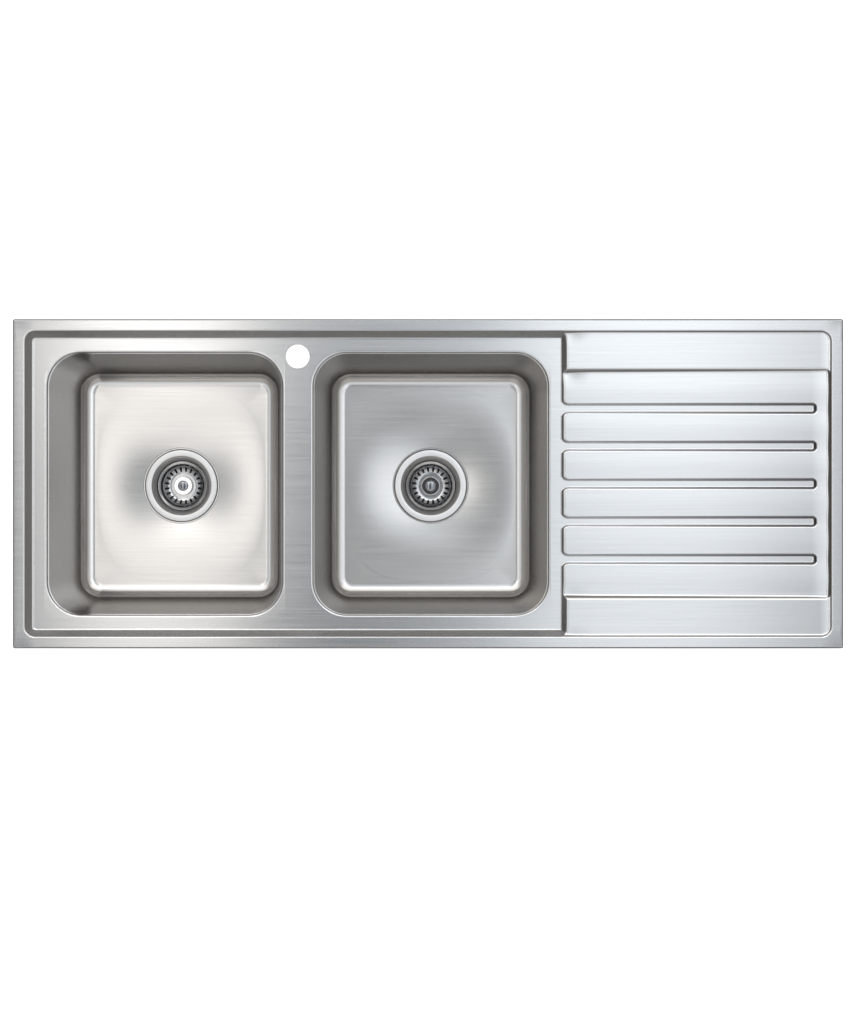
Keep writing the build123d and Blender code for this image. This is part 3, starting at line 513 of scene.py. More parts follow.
def sink_sheet():
    """Deck, drainer, rim and rolled bowl edges as one sheet of steel."""
    begin()
    bpy.ops.mesh.primitive_circle_add(
        vertices=72, radius=TAP_HOLE_DIAMETER / 2 * MM,
        location=(TAP_HOLE_X * MM, TAP_HOLE_Y * MM, DECK_Z * MM))
    tap_ring = bpy.context.object
    place_on_origin(tap_ring)
    sheet = joined_pieces("sink_sheet", [pressed_sheet(), collar(LEFT_BOWL_X), collar(RIGHT_BOWL_X), tap_ring])
    low, top = (DECK_Z - HAIR) * MM, (DECK_Z + HAIR) * MM
    reach_x = (BOWL_WIDTH / 2 + COLLAR_CUT + 0.2) * MM
    reach_y = (BOWL_LENGTH / 2 + COLLAR_CUT + 0.2) * MM
    for x in (LEFT_BOWL_X, RIGHT_BOWL_X):
        fill_between(sheet, lambda p: low < p.z < top and abs(p.x - x * MM) < reach_x and abs(p.y) < reach_y)
    reach = (TAP_CUT + 0.2) * MM
    select_in(sheet, "EDGE", lambda e: (e.is_boundary or e.is_wire) and all(
        v.co.z < top and abs(v.co.x - TAP_HOLE_X * MM) < reach
        and abs(v.co.y - TAP_HOLE_Y * MM) < reach for v in e.verts))
    bpy.ops.mesh.fill(use_beauty=True)
    bpy.ops.mesh.select_all(action="SELECT")
    bpy.ops.mesh.remove_doubles(threshold=2e-6)
    bpy.ops.mesh.normals_make_consistent(inside=False)
    begin()
    apply_modifier(sheet, "SOLIDIFY", thickness=SHEET * MM, offset=-1)
    return smooth(sheet)


def face_up(piece):
    """Turns an open sheet's faces over if most of them look down."""
    if sum(face.normal.z * face.area for face in piece.data.polygons) < 0:
        piece.data.flip_normals()


def floor_dish():
    """Floor of a bowl at the origin: rings from the bowl's outline to the sunk seat of the waste."""
    seat = SEAT_DIAMETER / 2
    turn = np.linspace(0, 2 * pi, 193)
    share = np.linspace(0, 0.985, 28)[:, None]
    way = wall_path(SEAM_Z)[-1][0] + 1.5
    across = np.abs(np.cos(turn)) / (BOWL_WIDTH / 2 - way)
    along = np.abs(np.sin(turn)) / (BOWL_LENGTH / 2 - way)
    reach = (across ** 3 + along ** 3)[None, :] ** (-1 / 3)
    radius = reach + (seat - reach) * share
    curve = DISH_CURVE_ACROSS + (DISH_CURVE_ALONG - DISH_CURVE_ACROSS) * np.sin(turn) ** 2
    height = FLOOR_Z - DISH_FALL * share ** curve[None, :]
    foot = FLOOR_Z - DISH_FALL
    tail = bent([(seat + 0.8, foot + 0.1), (seat, foot, 0.4), (seat - 0.7, SEAT_Z, 0.3),
                 (WASTE_HOLE_DIAMETER / 2, SEAT_Z)])
    radius = np.concatenate([radius, [np.full(len(turn), place[0]) for place in tail]])
    height = np.concatenate([height, [np.full(len(turn), place[1]) for place in tail]])
    begin()
    bpy.ops.mesh.primitive_grid_add(x_subdivisions=len(turn) - 1, y_subdivisions=len(radius) - 1, size=1)
    floor = bpy.context.object
    points = np.stack([radius * np.cos(turn), radius * np.sin(turn), height], axis=-1) * MM
    floor.data.vertices.foreach_set("co", points.astype(np.float32).ravel())
    floor.data.update()
    return floor


def bowl_shell():
    """Drawn bowl at the origin, from the weld seam to the waste hole."""
    path = wall_path(SEAM_Z)
    way = path[0][0]
    shell = rounded_plate(
        "bowl_shell", 0, BOWL_WIDTH / 2 - way, BOWL_LENGTH / 2 - way, BOWL_CORNER - way, SEAM_Z)
    draw_down(path)
    bpy.ops.mesh.delete(type="FACE")
    shell = joined_pieces("bowl_shell", [shell, floor_dish()])
    bpy.ops.object.mode_set(mode="EDIT")
    bpy.ops.mesh.select_all(action="SELECT")
    bpy.ops.mesh.remove_doubles(threshold=2e-6)
    low, high = (FLOOR_Z - HAIR) * MM, (FLOOR_Z + HAIR) * MM
    fill_between(shell, lambda p: low < p.z < high)
    bpy.ops.object.mode_set(mode="EDIT")
    bpy.ops.mesh.select_all(action="SELECT")
    bpy.ops.mesh.normals_make_consistent(inside=True)
    begin()
    face_up(shell)
    apply_modifier(shell, "SOLIDIFY", thickness=SHEET * MM, offset=-1)
    return smooth(shell)


def both_sides(piece, node, finish, body="sink"):
    """A copy of the piece in each bowl, in place of that side's CAD node."""
    coat(piece, finish)
    for side, x in (("left", LEFT_BOWL_X), ("right", RIGHT_BOWL_X)):
        twin = copied(piece, f"{side}_{piece.name}", x)
        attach(twin, body if body == "sink" else f"{side}_{body}")
        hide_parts(f"{side}_{node}")
    bpy.data.objects.remove(piece)


# Basket wastes, modelled at the origin

def thread(radius, depth, pitch, start, end):
    """Path of a thread's ridges along Z."""
    count = max(1, round(abs(end - start) / pitch))
    step = (end - start) / count
    path = []
    for turn in range(count):
        z = start + turn * step
        path += [(radius - depth, z), (radius - depth, z + step * 0.12), (radius, z + step * 0.45),
                 (radius, z + step * 0.6), (radius - depth, z + step * 0.93)]
    return path


def cut_away(piece, cutters):
    """Cuts the cutters out of the piece."""
    cutter = joined_pieces("cutter", cutters)
    apply_modifier(piece, "BOOLEAN", object=cutter, operation="DIFFERENCE", solver="EXACT")
    bpy.data.objects.remove(cutter)


def drill(radius, x, y, z, length):
    """Round cutter standing on Z."""
    begin()
    bpy.ops.mesh.primitive_cylinder_add(
        vertices=40, radius=radius * MM, depth=length * MM, location=(x * MM, y * MM, z * MM))
    place_on_origin(bpy.context.object)
    return bpy.context.object


def waste_cup():
    """Pressed flange and cup with drain holes and a well for the clamp screw."""
    top = FLANGE_Z + CUP_SHEET
    edge = [(FLANGE, FLANGE_Z + 0.1), (FLANGE - 0.2, top - 0.7), (FLANGE - 0.6, top - 0.4)]
    crown = [(radius, top - FLANGE_CROWN * ((radius - CROWN_MIDDLE) / CROWN_HALF) ** 2)
             for radius in np.linspace(CROWN_MIDDLE + 4, CROWN_MIDDLE - 4, 9)]
    inside = bent([
        (FUNNEL_BROW, top - FLANGE_CROWN - 0.15), (FUNNEL_THROAT, top - 3, 1.2), (CUP_TOP, top - 10, 2),
        (CUP_BASE, CUP_FLOOR_Z, 4.0), (WELL, CUP_FLOOR_Z, 0.8), (WELL, WELL_FLOOR_Z, 0.8),
        (SCREW_HOLE, WELL_FLOOR_Z)], steps=8)
    cup = turned("waste_cup", edge + crown + inside)
    face_up(cup)
    apply_modifier(cup, "SOLIDIFY", thickness=CUP_SHEET * MM, offset=-1)
    holes = []
    for count, diameter, radius in DRAIN_HOLE_RINGS:
        for place in range(count):
            turn = 2 * pi * place / count
            holes.append(drill(diameter / 2, radius * cos(turn), radius * sin(turn), CUP_FLOOR_Z, length=6))
    cut_away(cup, holes)
    return smooth(cup)


def seal_ring(name, inner, outer, low, high, ease=0.4):
    """Flat ring with eased edges."""
    path = [(inner, (low + high) / 2), (inner, low, ease), (outer, low, ease), (outer, high, ease),
            (inner, high, ease), (inner, (low + high) / 2)]
    return smooth(turned(name, bent(path, steps=3)))


def waste_housing():
    """Moulded body with its threaded outlet, and the spider that takes the clamp screw."""
    thread_top, thread_end = CONE_END_Z - 4, OUTLET_END_Z + 1.5
    outside = bent([
        (BODY_BORE, BODY_Z - 5), (BODY_BORE, BODY_Z), (FLANGE, BODY_Z, 0.6), (FLANGE, BODY_Z - 4, 0.6),
        (BARREL, BODY_Z - 4, 1.5), (BARREL, BARREL_END_Z, 6), (OUTLET, CONE_END_Z, 3), (OUTLET, thread_top)])
    inside = bent([
        (OUTLET_END, thread_end), (OUTLET_END, OUTLET_END_Z, 0.5), (OUTLET_BORE, OUTLET_END_Z, 0.5),
        (OUTLET_BORE, CONE_END_Z, 3), (BODY_BORE, BARREL_END_Z, 4), (BODY_BORE, BODY_Z - 5)])
    shell = turned("waste_housing", outside + thread(OUTLET, 1.1, 2.3, thread_top, thread_end) + inside)
    boss_end = BOSS_Z - BOSS_LENGTH
    pocket_end = boss_end + INSERT_LENGTH
    boss = turned("boss", bent([
        (SCREW_HOLE, BOSS_Z - 1), (SCREW_HOLE, BOSS_Z), (BOSS, BOSS_Z, 0.8), (BOSS, boss_end, 0.8),
        (INSERT_POCKET, boss_end), (INSERT_POCKET, pocket_end), (SCREW_HOLE, pocket_end),
        (SCREW_HOLE, BOSS_Z - 1)]), segments=64)
    ribs = [spider_rib(place * 360 / RIB_COUNT) for place in range(RIB_COUNT)]
    return smooth(joined_pieces("waste_housing", [shell, boss] + ribs))


def spider_rib(turn):
    """Rib from the boss to the cone of the housing, narrower below."""
    begin()
    middle_z = (BOSS_Z - RIB_HEIGHT / 2) * MM
    bpy.ops.mesh.primitive_cube_add(size=1, location=(RIB_MIDDLE * MM, 0, middle_z))
    rib = bpy.context.object
    rib.scale = (RIB_LENGTH * MM, RIB_WIDTH * MM, RIB_HEIGHT * MM)
    place_on_origin(rib)
    bpy.ops.object.mode_set(mode="EDIT")
    bpy.ops.mesh.select_all(action="DESELECT")
    mesh = bmesh.from_edit_mesh(rib.data)
    for corner in mesh.verts:
        corner.select_set(corner.co.x > RIB_MIDDLE * MM and corner.co.z < middle_z)
    mesh.select_flush_mode()
    bmesh.update_edit_mesh(rib.data)
    bpy.ops.transform.translate(value=(-RIB_TAPER * MM, 0, 0))
    bpy.ops.mesh.select_all(action="SELECT")
    bpy.ops.mesh.bevel(offset=0.4 * MM, segments=2)
    bpy.ops.transform.rotate(value=radians(turn), orient_axis="Z", center_override=(0, 0, 0))
    begin()
    return rib


def thread_insert():
    """Brass insert in the spider's boss."""
    low = BOSS_Z - BOSS_LENGTH
    return seal_ring("thread_insert", INSERT_BORE, INSERT, low, low + INSERT_LENGTH, 0.5)


def hollow_screw():
    """Clamp screw with a slotted head and a socket for the basket's peg."""
    top, end = WELL_FLOOR_Z + SCREW_HEAD_HEIGHT, WELL_FLOOR_Z - SCREW_LENGTH
    thread_top, socket_end = WELL_FLOOR_Z - 2, top - SOCKET_DEPTH
    ridges = thread(SCREW, 0.6, 1.5, end + 0.9, thread_top)
    head = bent([
        (SCREW_CORE, thread_top), (SCREW_CORE, WELL_FLOOR_Z), (SCREW_HEAD, WELL_FLOOR_Z, 0.3),
        (SCREW_HEAD, top, 0.7), (SOCKET, top, 0.4), (SOCKET, socket_end), (0, socket_end)])
    screw = turned("hollow_screw", [(5.2, end), (SCREW, end + 0.8)] + ridges + head, segments=72, closed=True)
    begin()
    bpy.ops.mesh.primitive_cube_add(size=1, location=(0, 0, top * MM))
    slot = bpy.context.object
    slot.scale = [side * MM for side in DRIVER_SLOT]
    place_on_origin(slot)
    cut_away(screw, [slot])
    return smooth(screw)


def strainer():
    """Basket with a rolled lip and a ring of slots in its sloping side."""
    top = BASKET_Z + BASKET_HEIGHT
    corners = bent([
        (39.2, top - 1.4), (39.0, top, 0.5), (34.9, top - 2.2, 2), (32.5, BASKET_Z + 9, 6),
        (25.4, KNOB_Z, 14), (PEG_BORE, KNOB_Z)], steps=9)
    path = [corners[0]]
    for near, far in zip(corners, corners[1:]):
        steps = max(1, round(hypot(far[0] - near[0], far[1] - near[1]) / 1.1)) if far[0] > 16 else 1
        path += [(near[0] + (far[0] - near[0]) * k / steps, near[1] + (far[1] - near[1]) * k / steps)
                 for k in range(1, steps + 1)]
    basket = turned("strainer", path, segments=SLOT_COUNT * 10)
    face_up(basket)

    def slotted(face):
        place = face.calc_center_median() / MM
        turn = np.degrees(np.arctan2(place.y, place.x)) * SLOT_COUNT / 360 % 1
        return SLOT_START < hypot(place.x, place.y) < SLOT_END and SLOT_SHARE[0] < turn < SLOT_SHARE[1]

    select_in(basket, "FACE", slotted)
    bpy.ops.mesh.delete(type="FACE")
    begin()
    apply_modifier(basket, "SOLIDIFY", thickness=BASKET_SHEET * MM, offset=-1)
    return smooth(basket)


def rubber_disc():
    """Disc under the basket that closes the drain holes, with a fine lip."""
    return smooth(turned("rubber_disc", bent([
        (DISC_BORE, SEAL_Z + 1), (DISC_BORE, SEAL_Z), (30, SEAL_Z, 2), (DISC, SEAL_Z + 0.9, 0.3),
        (DISC, HUB_Z, 0.4), (29, HUB_Z - 0.4, 2), (DISC_BORE, HUB_Z - 0.4), (DISC_BORE, SEAL_Z + 1)], steps=4)))


def disc_hub():
    """Spool that holds the disc under the basket."""
    low, lip_top, top = SEAL_Z - HUB_LIP_HEIGHT, SEAL_Z - 0.02, BASKET_Z - 0.02
    return smooth(turned("disc_hub", bent([
        (PEG_BORE, low + 1), (PEG_BORE, low), (HUB_LIP, low, 0.4), (HUB_LIP, lip_top, 0.4),
        (HUB_NECK, lip_top), (HUB_NECK, HUB_Z), (HUB, HUB_Z, 0.5), (HUB, top, 0.5), (PEG_BORE, top),
        (PEG_BORE, low + 1)], steps=3), segments=96))


def peg():
    """Peg of the basket with its collar, ring groove and head."""
    collar_z, head_z = SEAL_Z - 1.46, KNOB_Z + KNOB_UNDER
    end = CUP_FLOOR_Z - PEG_REACH
    groove_low, groove_top = end + 6, end + 7.02
    return smooth(turned("peg", bent([
        (2.9, end), (PEG, end + 1.1, 0.4), (PEG, groove_low), (RING_GROOVE, groove_low),
        (RING_GROOVE, groove_top), (PEG, groove_top), (PEG, collar_z - 1.5), (PEG_COLLAR, collar_z - 1.5, 0.3),
        (PEG_COLLAR, collar_z, 0.3), (PEG, collar_z), (PEG, head_z), (PEG_HEAD, head_z),
        (PEG_HEAD, head_z + 1.2), (0, head_z + 1.2)], steps=3), segments=64, closed=True))


def spring_ring():
    """Split wire ring in the peg's groove."""
    low = CUP_FLOOR_Z - PEG_REACH + 6.06
    begin()
    bpy.ops.mesh.primitive_torus_add(
        major_radius=RING_RADIUS * MM, minor_radius=RING_WIRE * MM, major_segments=72, minor_segments=14,
        location=(0, 0, (low + 0.45) * MM))
    ring = bpy.context.object
    ring.name = "spring_ring"
    place_on_origin(ring)

    def in_gap(face):
        place = face.calc_center_median()
        return abs(np.arctan2(place.y, place.x)) < radians(RING_GAP / 2)

    select_in(ring, "FACE", in_gap)
    bpy.ops.mesh.delete(type="FACE")
    bpy.ops.mesh.select_mode(type="EDGE")
    bpy.ops.mesh.select_all(action="SELECT")
    bpy.ops.mesh.region_to_loop()
    bpy.ops.mesh.edge_face_add()
    begin()
    return smooth(ring)


def turned_knob():
    """Knob with a neck, a flat head and a domed middle."""
    under, top = KNOB_Z + KNOB_UNDER, KNOB_Z + KNOB_TOP
    dome = [(DOME * cos(a), top + DOME_RISE * sin(a)) for a in np.linspace(0, pi / 2, 12)[1:-1]]
    return smooth(turned("turned_knob", bent([
        (5.5, under + 1.5), (5.5, under - 0.06), (PEG_BORE, under - 0.06), (PEG_BORE, KNOB_Z),
        (KNOB_NECK, KNOB_Z, 0.5), (KNOB_NECK, under, 1.2), (KNOB, under, 1.3), (KNOB, top, 1.1), (DOME, top)],
        steps=6) + dome + [(0, top + DOME_RISE)], closed=True))


# Finishes

def shader_group(name, inputs, outputs):
    """New shader group with named sockets."""
    group = bpy.data.node_groups.new(name, "ShaderNodeTree")
    for label, kind in inputs:
        group.interface.new_socket(label, in_out="INPUT", socket_type="NodeSocket" + kind)
    for label, kind in outputs:
        group.interface.new_socket(label, in_out="OUTPUT", socket_type="NodeSocket" + kind)
    return group, group.nodes.new("NodeGroupInput"), group.nodes.new("NodeGroupOutput")


def noise_group(name, detail):
    """Stretched noise that gives a level between two values, and the bare noise for a bump."""
    group, start, end = shader_group(
        name, [("Place", "Vector"), ("Stretch", "Vector"), ("Low", "Float"), ("High", "Float")],
        [("Level", "Float"), ("Grain", "Float")])
    spread = group.nodes.new("ShaderNodeVectorMath")
    spread.operation = "MULTIPLY"
    noise = group.nodes.new("ShaderNodeTexNoise")
    noise.inputs["Scale"].default_value = 1
    noise.inputs["Detail"].default_value = detail
    levels = group.nodes.new("ShaderNodeMapRange")
    levels.inputs["From Min"].default_value = 0.3
    levels.inputs["From Max"].default_value = 0.7
    link = group.links.new
    link(start.outputs["Place"], spread.inputs[0])
    link(start.outputs["Stretch"], spread.inputs[1])
    link(spread.outputs["Vector"], noise.inputs["Vector"])
    link(noise.outputs["Fac"], levels.inputs["Value"])
    link(start.outputs["Low"], levels.inputs["To Min"])
    link(start.outputs["High"], levels.inputs["To Max"])
    link(levels.outputs["Result"], end.inputs["Level"])
    link(noise.outputs["Fac"], end.inputs["Grain"])
    return group


class Finish:
    """Material whose tone, roughness and relief come from the shared noise groups."""

    def __init__(self, name, metallic):
        self.material = bpy.data.materials.new(name)
        self.material.use_nodes = True
        self.nodes = self.material.node_tree.nodes
        self.link = self.material.node_tree.links.new
        self.shader = self.nodes["Principled BSDF"]
        self.shader.inputs["Metallic"].default_value = metallic
        self.place = self.nodes.new("ShaderNodeTexCoord").outputs["Object"]

    def noise(self, group, stretch, low=0.0, high=1.0):
        """One of the noise groups, at a stretch of its own."""
        node = self.nodes.new("ShaderNodeGroup")
        node.node_tree = group
        self.link(self.place, node.inputs["Place"])
        node.inputs["Stretch"].default_value = stretch
        node.inputs["Low"].default_value = low
        node.inputs["High"].default_value = high
        return node

    def tone(self, group, stretch, dark, light):
        """First tone, between a dark and a light one."""
        node = self.noise(group, stretch)
        mix = self.nodes.new("ShaderNodeMix")
        mix.data_type = "RGBA"
        mix.inputs["A"].default_value = (*dark, 1)
        mix.inputs["B"].default_value = (*light, 1)
        self.link(node.outputs["Level"], mix.inputs["Factor"])
        self.link(mix.outputs["Result"], self.shader.inputs["Base Color"])

    def roughness(self, group, stretch, low, high):
        """Roughness between two levels."""
        node = self.noise(group, stretch, low, high)
        self.link(node.outputs["Level"], self.shader.inputs["Roughness"])

    def relief(self, group, stretch, height):
        """Fine bumps of a height in millimetres."""
        node = self.noise(group, stretch)
        bump = self.nodes.new("ShaderNodeBump")
        bump.inputs["Strength"].default_value = 1
        bump.inputs["Distance"].default_value = height * MM
        self.link(node.outputs["Grain"], bump.inputs["Height"])
        self.link(bump.outputs["Normal"], self.shader.inputs["Normal"])

    def painted_tone_over(self, colour, share):
        """Another tone over the first one, which paints shade or a reflection."""
        mix = self.nodes.new("ShaderNodeMix")
        mix.data_type = "RGBA"
        mix.inputs["B"].default_value = (*colour, 1)
        self.link(share, mix.inputs["Factor"])
        self.link(self.shader.inputs["Base Color"].links[0].from_socket, mix.inputs["A"])
        self.link(mix.outputs["Result"], self.shader.inputs["Base Color"])

    def painted_wall_shade(self, colour, flat, upright, start=None, end=None):
        """Painted shade: a darker tone where the sheet stands upright, coming in along X if a start and an end
        are given.
        """
        facing = self.nodes.new("ShaderNodeSeparateXYZ")
        self.link(self.nodes.new("ShaderNodeNewGeometry").outputs["Normal"], facing.inputs["Vector"])
        share = self.mapped(facing.outputs["Z"], flat, upright)
        if end:
            both = self.nodes.new("ShaderNodeMath")
            both.operation = "MULTIPLY"
            self.link(share, both.inputs[0])
            self.link(self.mapped(self.along("X"), start * MM, end * MM), both.inputs[1])
            share = both.outputs["Value"]
        self.painted_tone_over(colour, share)

    def painted_reflection_above(self, colour, start, end):
        """Painted reflection: another tone above a height."""
        self.painted_tone_over(colour, self.mapped(self.along("Z"), start * MM, end * MM))

    def along(self, axis):
        """Place along one axis of the piece."""
        place = self.nodes.new("ShaderNodeSeparateXYZ")
        self.link(self.place, place.inputs["Vector"])
        return place.outputs[axis]

    def mapped(self, value, start, end):
        """Share of the way from start to end."""
        node = self.nodes.new("ShaderNodeMapRange")
        node.inputs["From Min"].default_value = start
        node.inputs["From Max"].default_value = end
        self.link(value, node.inputs["Value"])
        return node.outputs["Result"]

    def brushed(self, amount, across):
        """Stretched reflections, with the tangent along one direction."""
        tangent = self.nodes.new("ShaderNodeCombineXYZ")
        for label, value in zip("XYZ", across):
            tangent.inputs[label].default_value = value
        self.shader.inputs["Anisotropic"].default_value = amount
        self.link(tangent.outputs["Vector"], self.shader.inputs["Tangent"])


def even(scale):
    """The same stretch along all three axes."""
    return (scale, scale, scale)


def plain_finish(name, metallic, tone, roughness, relief=None):
    """Finish with a tone and a roughness, and with a relief if one is given."""
    finish = Finish(name, metallic)
    finish.tone(*tone)
    finish.roughness(*roughness)
    if relief:
        finish.relief(*relief)
    return finish


def finishes():
    """Every finish of the sink, by name."""
    grain = noise_group("brushed_grain", 3)
    mottle = noise_group("mottling", 2)
    made = {}
    deck = Finish("satin_deck_steel", 1)
    deck.tone(grain, (6, 600, 600), (0.715, 0.715, 0.72), (0.745, 0.745, 0.745))
    deck.roughness(grain, (7, 420, 420), 0.19, 0.24)
    # Painted shade: a darker tone on the steep walls of the drainer, growing towards its right end
    deck.painted_wall_shade((0.25, 0.25, 0.26), 0.93, 0.6, DECK_END - 40, RECESS_X - GROOVE_END_MARGIN)
    deck.brushed(0.4, (0, 1, 0))
    made["deck"] = deck
    bowls = Finish("satin_bowl_steel", 0.87)
    bowls.tone(grain, (6, 600, 6), (0.79, 0.775, 0.758), (0.82, 0.81, 0.798))
    # Painted shade: a darker tone on the bowls' upright walls
    bowls.painted_wall_shade((0.62, 0.605, 0.585), 0.5, 0.15)
    bowls.shader.inputs["Specular Tint"].default_value = (0.27, 0.265, 0.255, 1)
    bowls.roughness(grain, (8, 420, 20), 0.19, 0.22)
    made["bowls"] = bowls
    waste = Finish("satin_waste_steel", 1)
    waste.tone(mottle, even(60), (0.88, 0.875, 0.87), (0.91, 0.905, 0.9))
    # Painted shade: a darker tone on the steep walls of the flange and cup
    waste.painted_wall_shade((0.5, 0.49, 0.48), 0.95, 0.7)
    waste.roughness(mottle, even(60), 0.34, 0.37)
    made["waste"] = waste
    made["basket"] = plain_finish(
        "strainer_steel", 1, (mottle, even(90), (0.5, 0.5, 0.505), (0.6, 0.6, 0.605)),
        (mottle, even(400), 0.14, 0.22))
    knob = Finish("polished_knob_steel", 1)
    knob.tone(mottle, even(60), (0.76, 0.76, 0.77), (0.82, 0.82, 0.83))
    # Painted reflection: a dark tone on the knob's domed middle
    knob.painted_reflection_above((0.3, 0.31, 0.33), KNOB_Z + 7.5, KNOB_Z + 8.3)
    knob.roughness(mottle, even(300), 0.04, 0.07)
    made["knob"] = knob
    made["peg"] = plain_finish(
        "turned_peg_steel", 1, (mottle, even(80), (0.62, 0.62, 0.63), (0.7, 0.7, 0.71)),
        (grain, (40, 40, 3000), 0.22, 0.36))
    made["zinc"] = plain_finish(
        "zinc_plating", 1, (mottle, even(140), (0.5, 0.53, 0.56), (0.68, 0.7, 0.71)),
        (mottle, even(220), 0.28, 0.5))
    made["brass"] = plain_finish(
        "plain_brass", 1, (mottle, even(120), (0.66, 0.47, 0.2), (0.78, 0.6, 0.3)),
        (grain, (60, 60, 2500), 0.2, 0.36))
    made["rubber"] = plain_finish(
        "matt_rubber", 0, (mottle, even(90), (0.022, 0.022, 0.024), (0.042, 0.042, 0.046)),
        (mottle, even(700), 0.55, 0.75), (mottle, even(1500), 0.03))
    made["housing"] = plain_finish(
        "moulded_grey_plastic", 0, (mottle, even(50), (0.11, 0.11, 0.118), (0.15, 0.15, 0.16)),
        (mottle, even(900), 0.4, 0.56), (mottle, even(2600), 0.03))
    made["hub"] = plain_finish(
        "black_plastic", 0, (mottle, even(70), (0.02, 0.02, 0.021), (0.034, 0.034, 0.036)),
        (mottle, even(900), 0.26, 0.4))
    made["foam"] = plain_finish(
        "grey_foam", 0, (mottle, even(900), (0.16, 0.16, 0.165), (0.26, 0.26, 0.27)),
        (mottle, even(600), 0.82, 0.95), (mottle, even(1800), 0.2))
    made["felt"] = plain_finish(
        "bitumen_felt", 0, (mottle, even(400), (0.035, 0.034, 0.033), (0.075, 0.073, 0.07)),
        (mottle, even(500), 0.75, 0.92), (mottle, even(900), 0.25))
    return {name: finish.material for name, finish in made.items()}


# Scene

def camera():
    """Straight down, from where the photograph was taken."""
    view = bpy.data.cameras.new("camera")
    spot = bpy.data.objects.new("camera", view)
    bpy.context.scene.collection.objects.link(spot)
    spot.location = (CAMERA_X, CAMERA_Y, RIM_HEIGHT * MM + CAMERA_DISTANCE)
    view.angle = 2 * np.arctan(FRAME_WIDTH / 2 / CAMERA_DISTANCE)
    bpy.context.scene.camera = spot


def camera_body():
    """Dark block over the camera's place, hidden from cameras, which the right knob mirrors."""
    begin()
    bpy.ops.mesh.primitive_cube_add(size=1, location=(CAMERA_X, 0.02, 3.05), scale=(0.25, 0.28, 0.1))
    body = bpy.context.object
    body.name = "camera_body"
    black = Finish("camera_black", 0)
    black.shader.inputs["Base Color"].default_value = (0.03, 0.03, 0.032, 1)
    black.shader.inputs["Roughness"].default_value = 0.8
    body.data.materials.append(black.material)
    body.visible_camera = False


def plain_floor():
    """Plain white floor under the lowest piece."""
    begin()
    bpy.ops.mesh.primitive_plane_add(size=150, location=(0, 0, cad_box[0][2] - 0.002))
    floor = bpy.context.object
    floor.name = "floor"
    white = Finish("plain_white_floor", 0)
    white.shader.inputs["Base Color"].default_value = (0.9, 0.9, 0.9, 1)
    white.shader.inputs["Roughness"].default_value = 0.9
    white.shader.inputs["Emission Color"].default_value = (1, 1, 1, 1)
    white.shader.inputs["Emission Strength"].default_value = 0.8
    floor.data.materials.append(white.material)
    floor.visible_glossy = False


def soft_light(name, place, size, radiance, colour, tip=0):
    """Rectangular soft box of one brightness, looking down or tipped to the front."""
    light = bpy.data.lights.new(name, "AREA")
    light.shape = "RECTANGLE"
    light.size, light.size_y = size
    light.energy = radiance * pi * size[0] * size[1]
    light.color = colour
    spot = bpy.data.objects.new(name, light)
    spot.location = place
    spot.rotation_euler = (radians(tip), 0, 0)
    bpy.context.scene.collection.objects.link(spot)


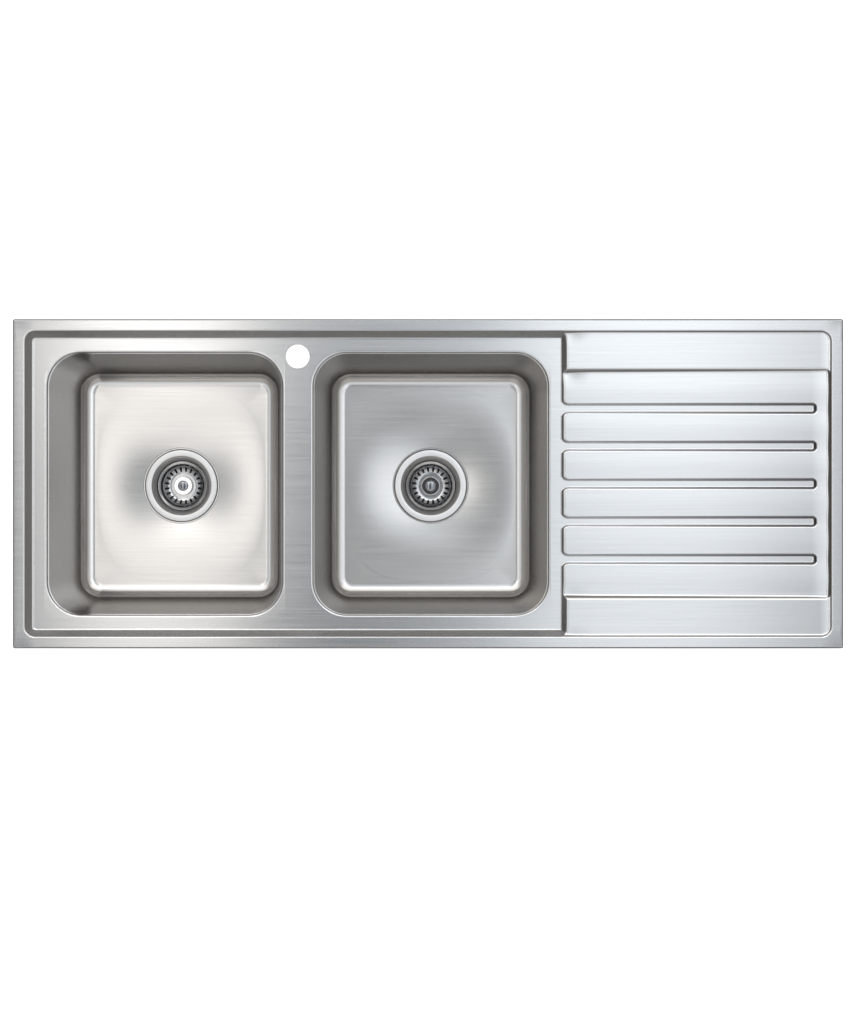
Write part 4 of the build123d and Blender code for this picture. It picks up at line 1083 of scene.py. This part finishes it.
def studio():
    """Soft boxes overhead with a greyer gap between them, in a room that is dim at eye level."""
    warm, cool, cold = (1, 0.962, 0.92), (0.925, 0.962, 1), (0.88, 0.945, 1)
    world = bpy.data.worlds.new("studio")
    bpy.context.scene.world = world
    world.use_nodes = True
    nodes, link = world.node_tree.nodes, world.node_tree.links.new
    facing = nodes.new("ShaderNodeSeparateXYZ")
    link(nodes.new("ShaderNodeTexCoord").outputs["Generated"], facing.inputs["Vector"])

    def mapped(axis, *limits):
        """Direction along an axis, taken from one range to another."""
        node = nodes.new("ShaderNodeMapRange")
        for label, value in zip(("From Min", "From Max", "To Min", "To Max"), limits):
            node.inputs[label].default_value = value
        link(facing.outputs[axis], node.inputs["Value"])
        return node.outputs["Result"]

    room = nodes.new("ShaderNodeValToRGB")
    ramp = room.color_ramp
    levels = ((-1.0, 0.8, warm), (-0.6, 0.55, warm), (-0.34, 0.22, warm), (0.0, 0.165, warm),
              (0.2, 0.17, warm), (0.36, 0.42, warm), (0.66, 0.48, warm), (0.79, 1.0, cool),
              (0.885, 1.0, cool), (0.93, 0.26, cold), (1.0, 0.2, cold))
    for place, *_ in levels[1:-1]:
        ramp.elements.new((1 + place) / 2)
    for stop, (place, level, colour) in zip(ramp.elements, levels):
        stop.position = (1 + place) / 2
        stop.color = (*[level * part for part in colour], 1)
    link(mapped("Z", -1, 1, 0, 1), room.inputs["Fac"])
    # A little brighter at the back, and dimmer at the far left
    strength = nodes.new("ShaderNodeMath")
    strength.operation = "MULTIPLY"
    link(mapped("Y", -0.8, 0.8, 0.88, 1.15), strength.inputs[0])
    link(mapped("X", -0.85, -0.4, 0.5, 1), strength.inputs[1])
    link(room.outputs["Color"], nodes["Background"].inputs["Color"])
    link(strength.outputs["Value"], nodes["Background"].inputs["Strength"])
    back = 2.4
    for name, x, width, level, middle_level, back_level, colour in (
            ("far_left_box", -1.37, 0.42, 0.12, 0, 0.25, warm),
            ("left_box", -0.8675, 0.585, 0.95, 0.3, 0.35, warm),
            ("gap_box", -0.3, 0.4, 0, 0.06, 0.25, cold),
            ("middle_box", 0.09, 0.38, 0.26, 0.05, 0.1, cold),
            ("right_box", 0.665, 0.77, 0.94, 0.06, 0.27, cool),
            ("far_right_box", 1.28, 0.46, 0.35, 0.2, 0.3, cool)):
        for label, height, front, radiance in (
                ("", 3.2, -1.4, level), ("_middle", 3.22, -0.35, middle_level),
                ("_back", 3.24, 0.33, back_level)):
            if radiance:
                place, size = (x, (front + back) / 2, height), (width, back - front)
                soft_light(name + label, place, size, radiance, colour)
    soft_light("back_box", (0, 2.7, 2.6), (6, 2.0), 0.6, warm, -47)
    bpy.context.scene.view_settings.view_transform = "Standard"


def build():
    """Every piece of the sink with its finish."""
    look = finishes()
    sheet = sink_sheet()
    coat(sheet, look["deck"])
    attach(sheet, "sink")
    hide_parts("sink_deck")
    both_sides(bowl_shell(), "bowl", look["bowls"])
    both_sides(waste_cup(), "waste_flange", look["waste"])
    seat_seal = seal_ring("seat_seal", *SEAT_SEAL, SEAT_Z, FLANGE_Z)
    both_sides(seat_seal, "flange_gasket", look["rubber"])
    under_seal = seal_ring("under_seal", *UNDER_SEAL, BODY_Z, SEAT_Z - SHEET)
    both_sides(under_seal, "body_gasket", look["rubber"])
    both_sides(waste_housing(), "waste_body", look["housing"])
    both_sides(thread_insert(), "boss_insert", look["brass"])
    both_sides(hollow_screw(), "clamp_screw", look["brass"])
    both_sides(strainer(), "basket", look["basket"], "strainer")
    both_sides(rubber_disc(), "plug_seal", look["rubber"], "strainer")
    both_sides(disc_hub(), "seal_hub", look["hub"], "strainer")
    both_sides(turned_knob(), "knob", look["knob"], "strainer")
    both_sides(peg(), "stem", look["peg"], "plug")
    both_sides(spring_ring(), "peg_ring", look["peg"], "plug")
    carried_over = bpy.data.objects
    coat(carried_over["rim_seal"], look["foam"])
    for node in ("clip_tabs", "fixing_clips", "clip_screws"):
        coat(carried_over[node], look["zinc"])
    for side in ("left", "right"):
        coat(carried_over[f"{side}_sound_pads"], look["felt"])


build()
camera()
camera_body()
plain_floor()
studio()
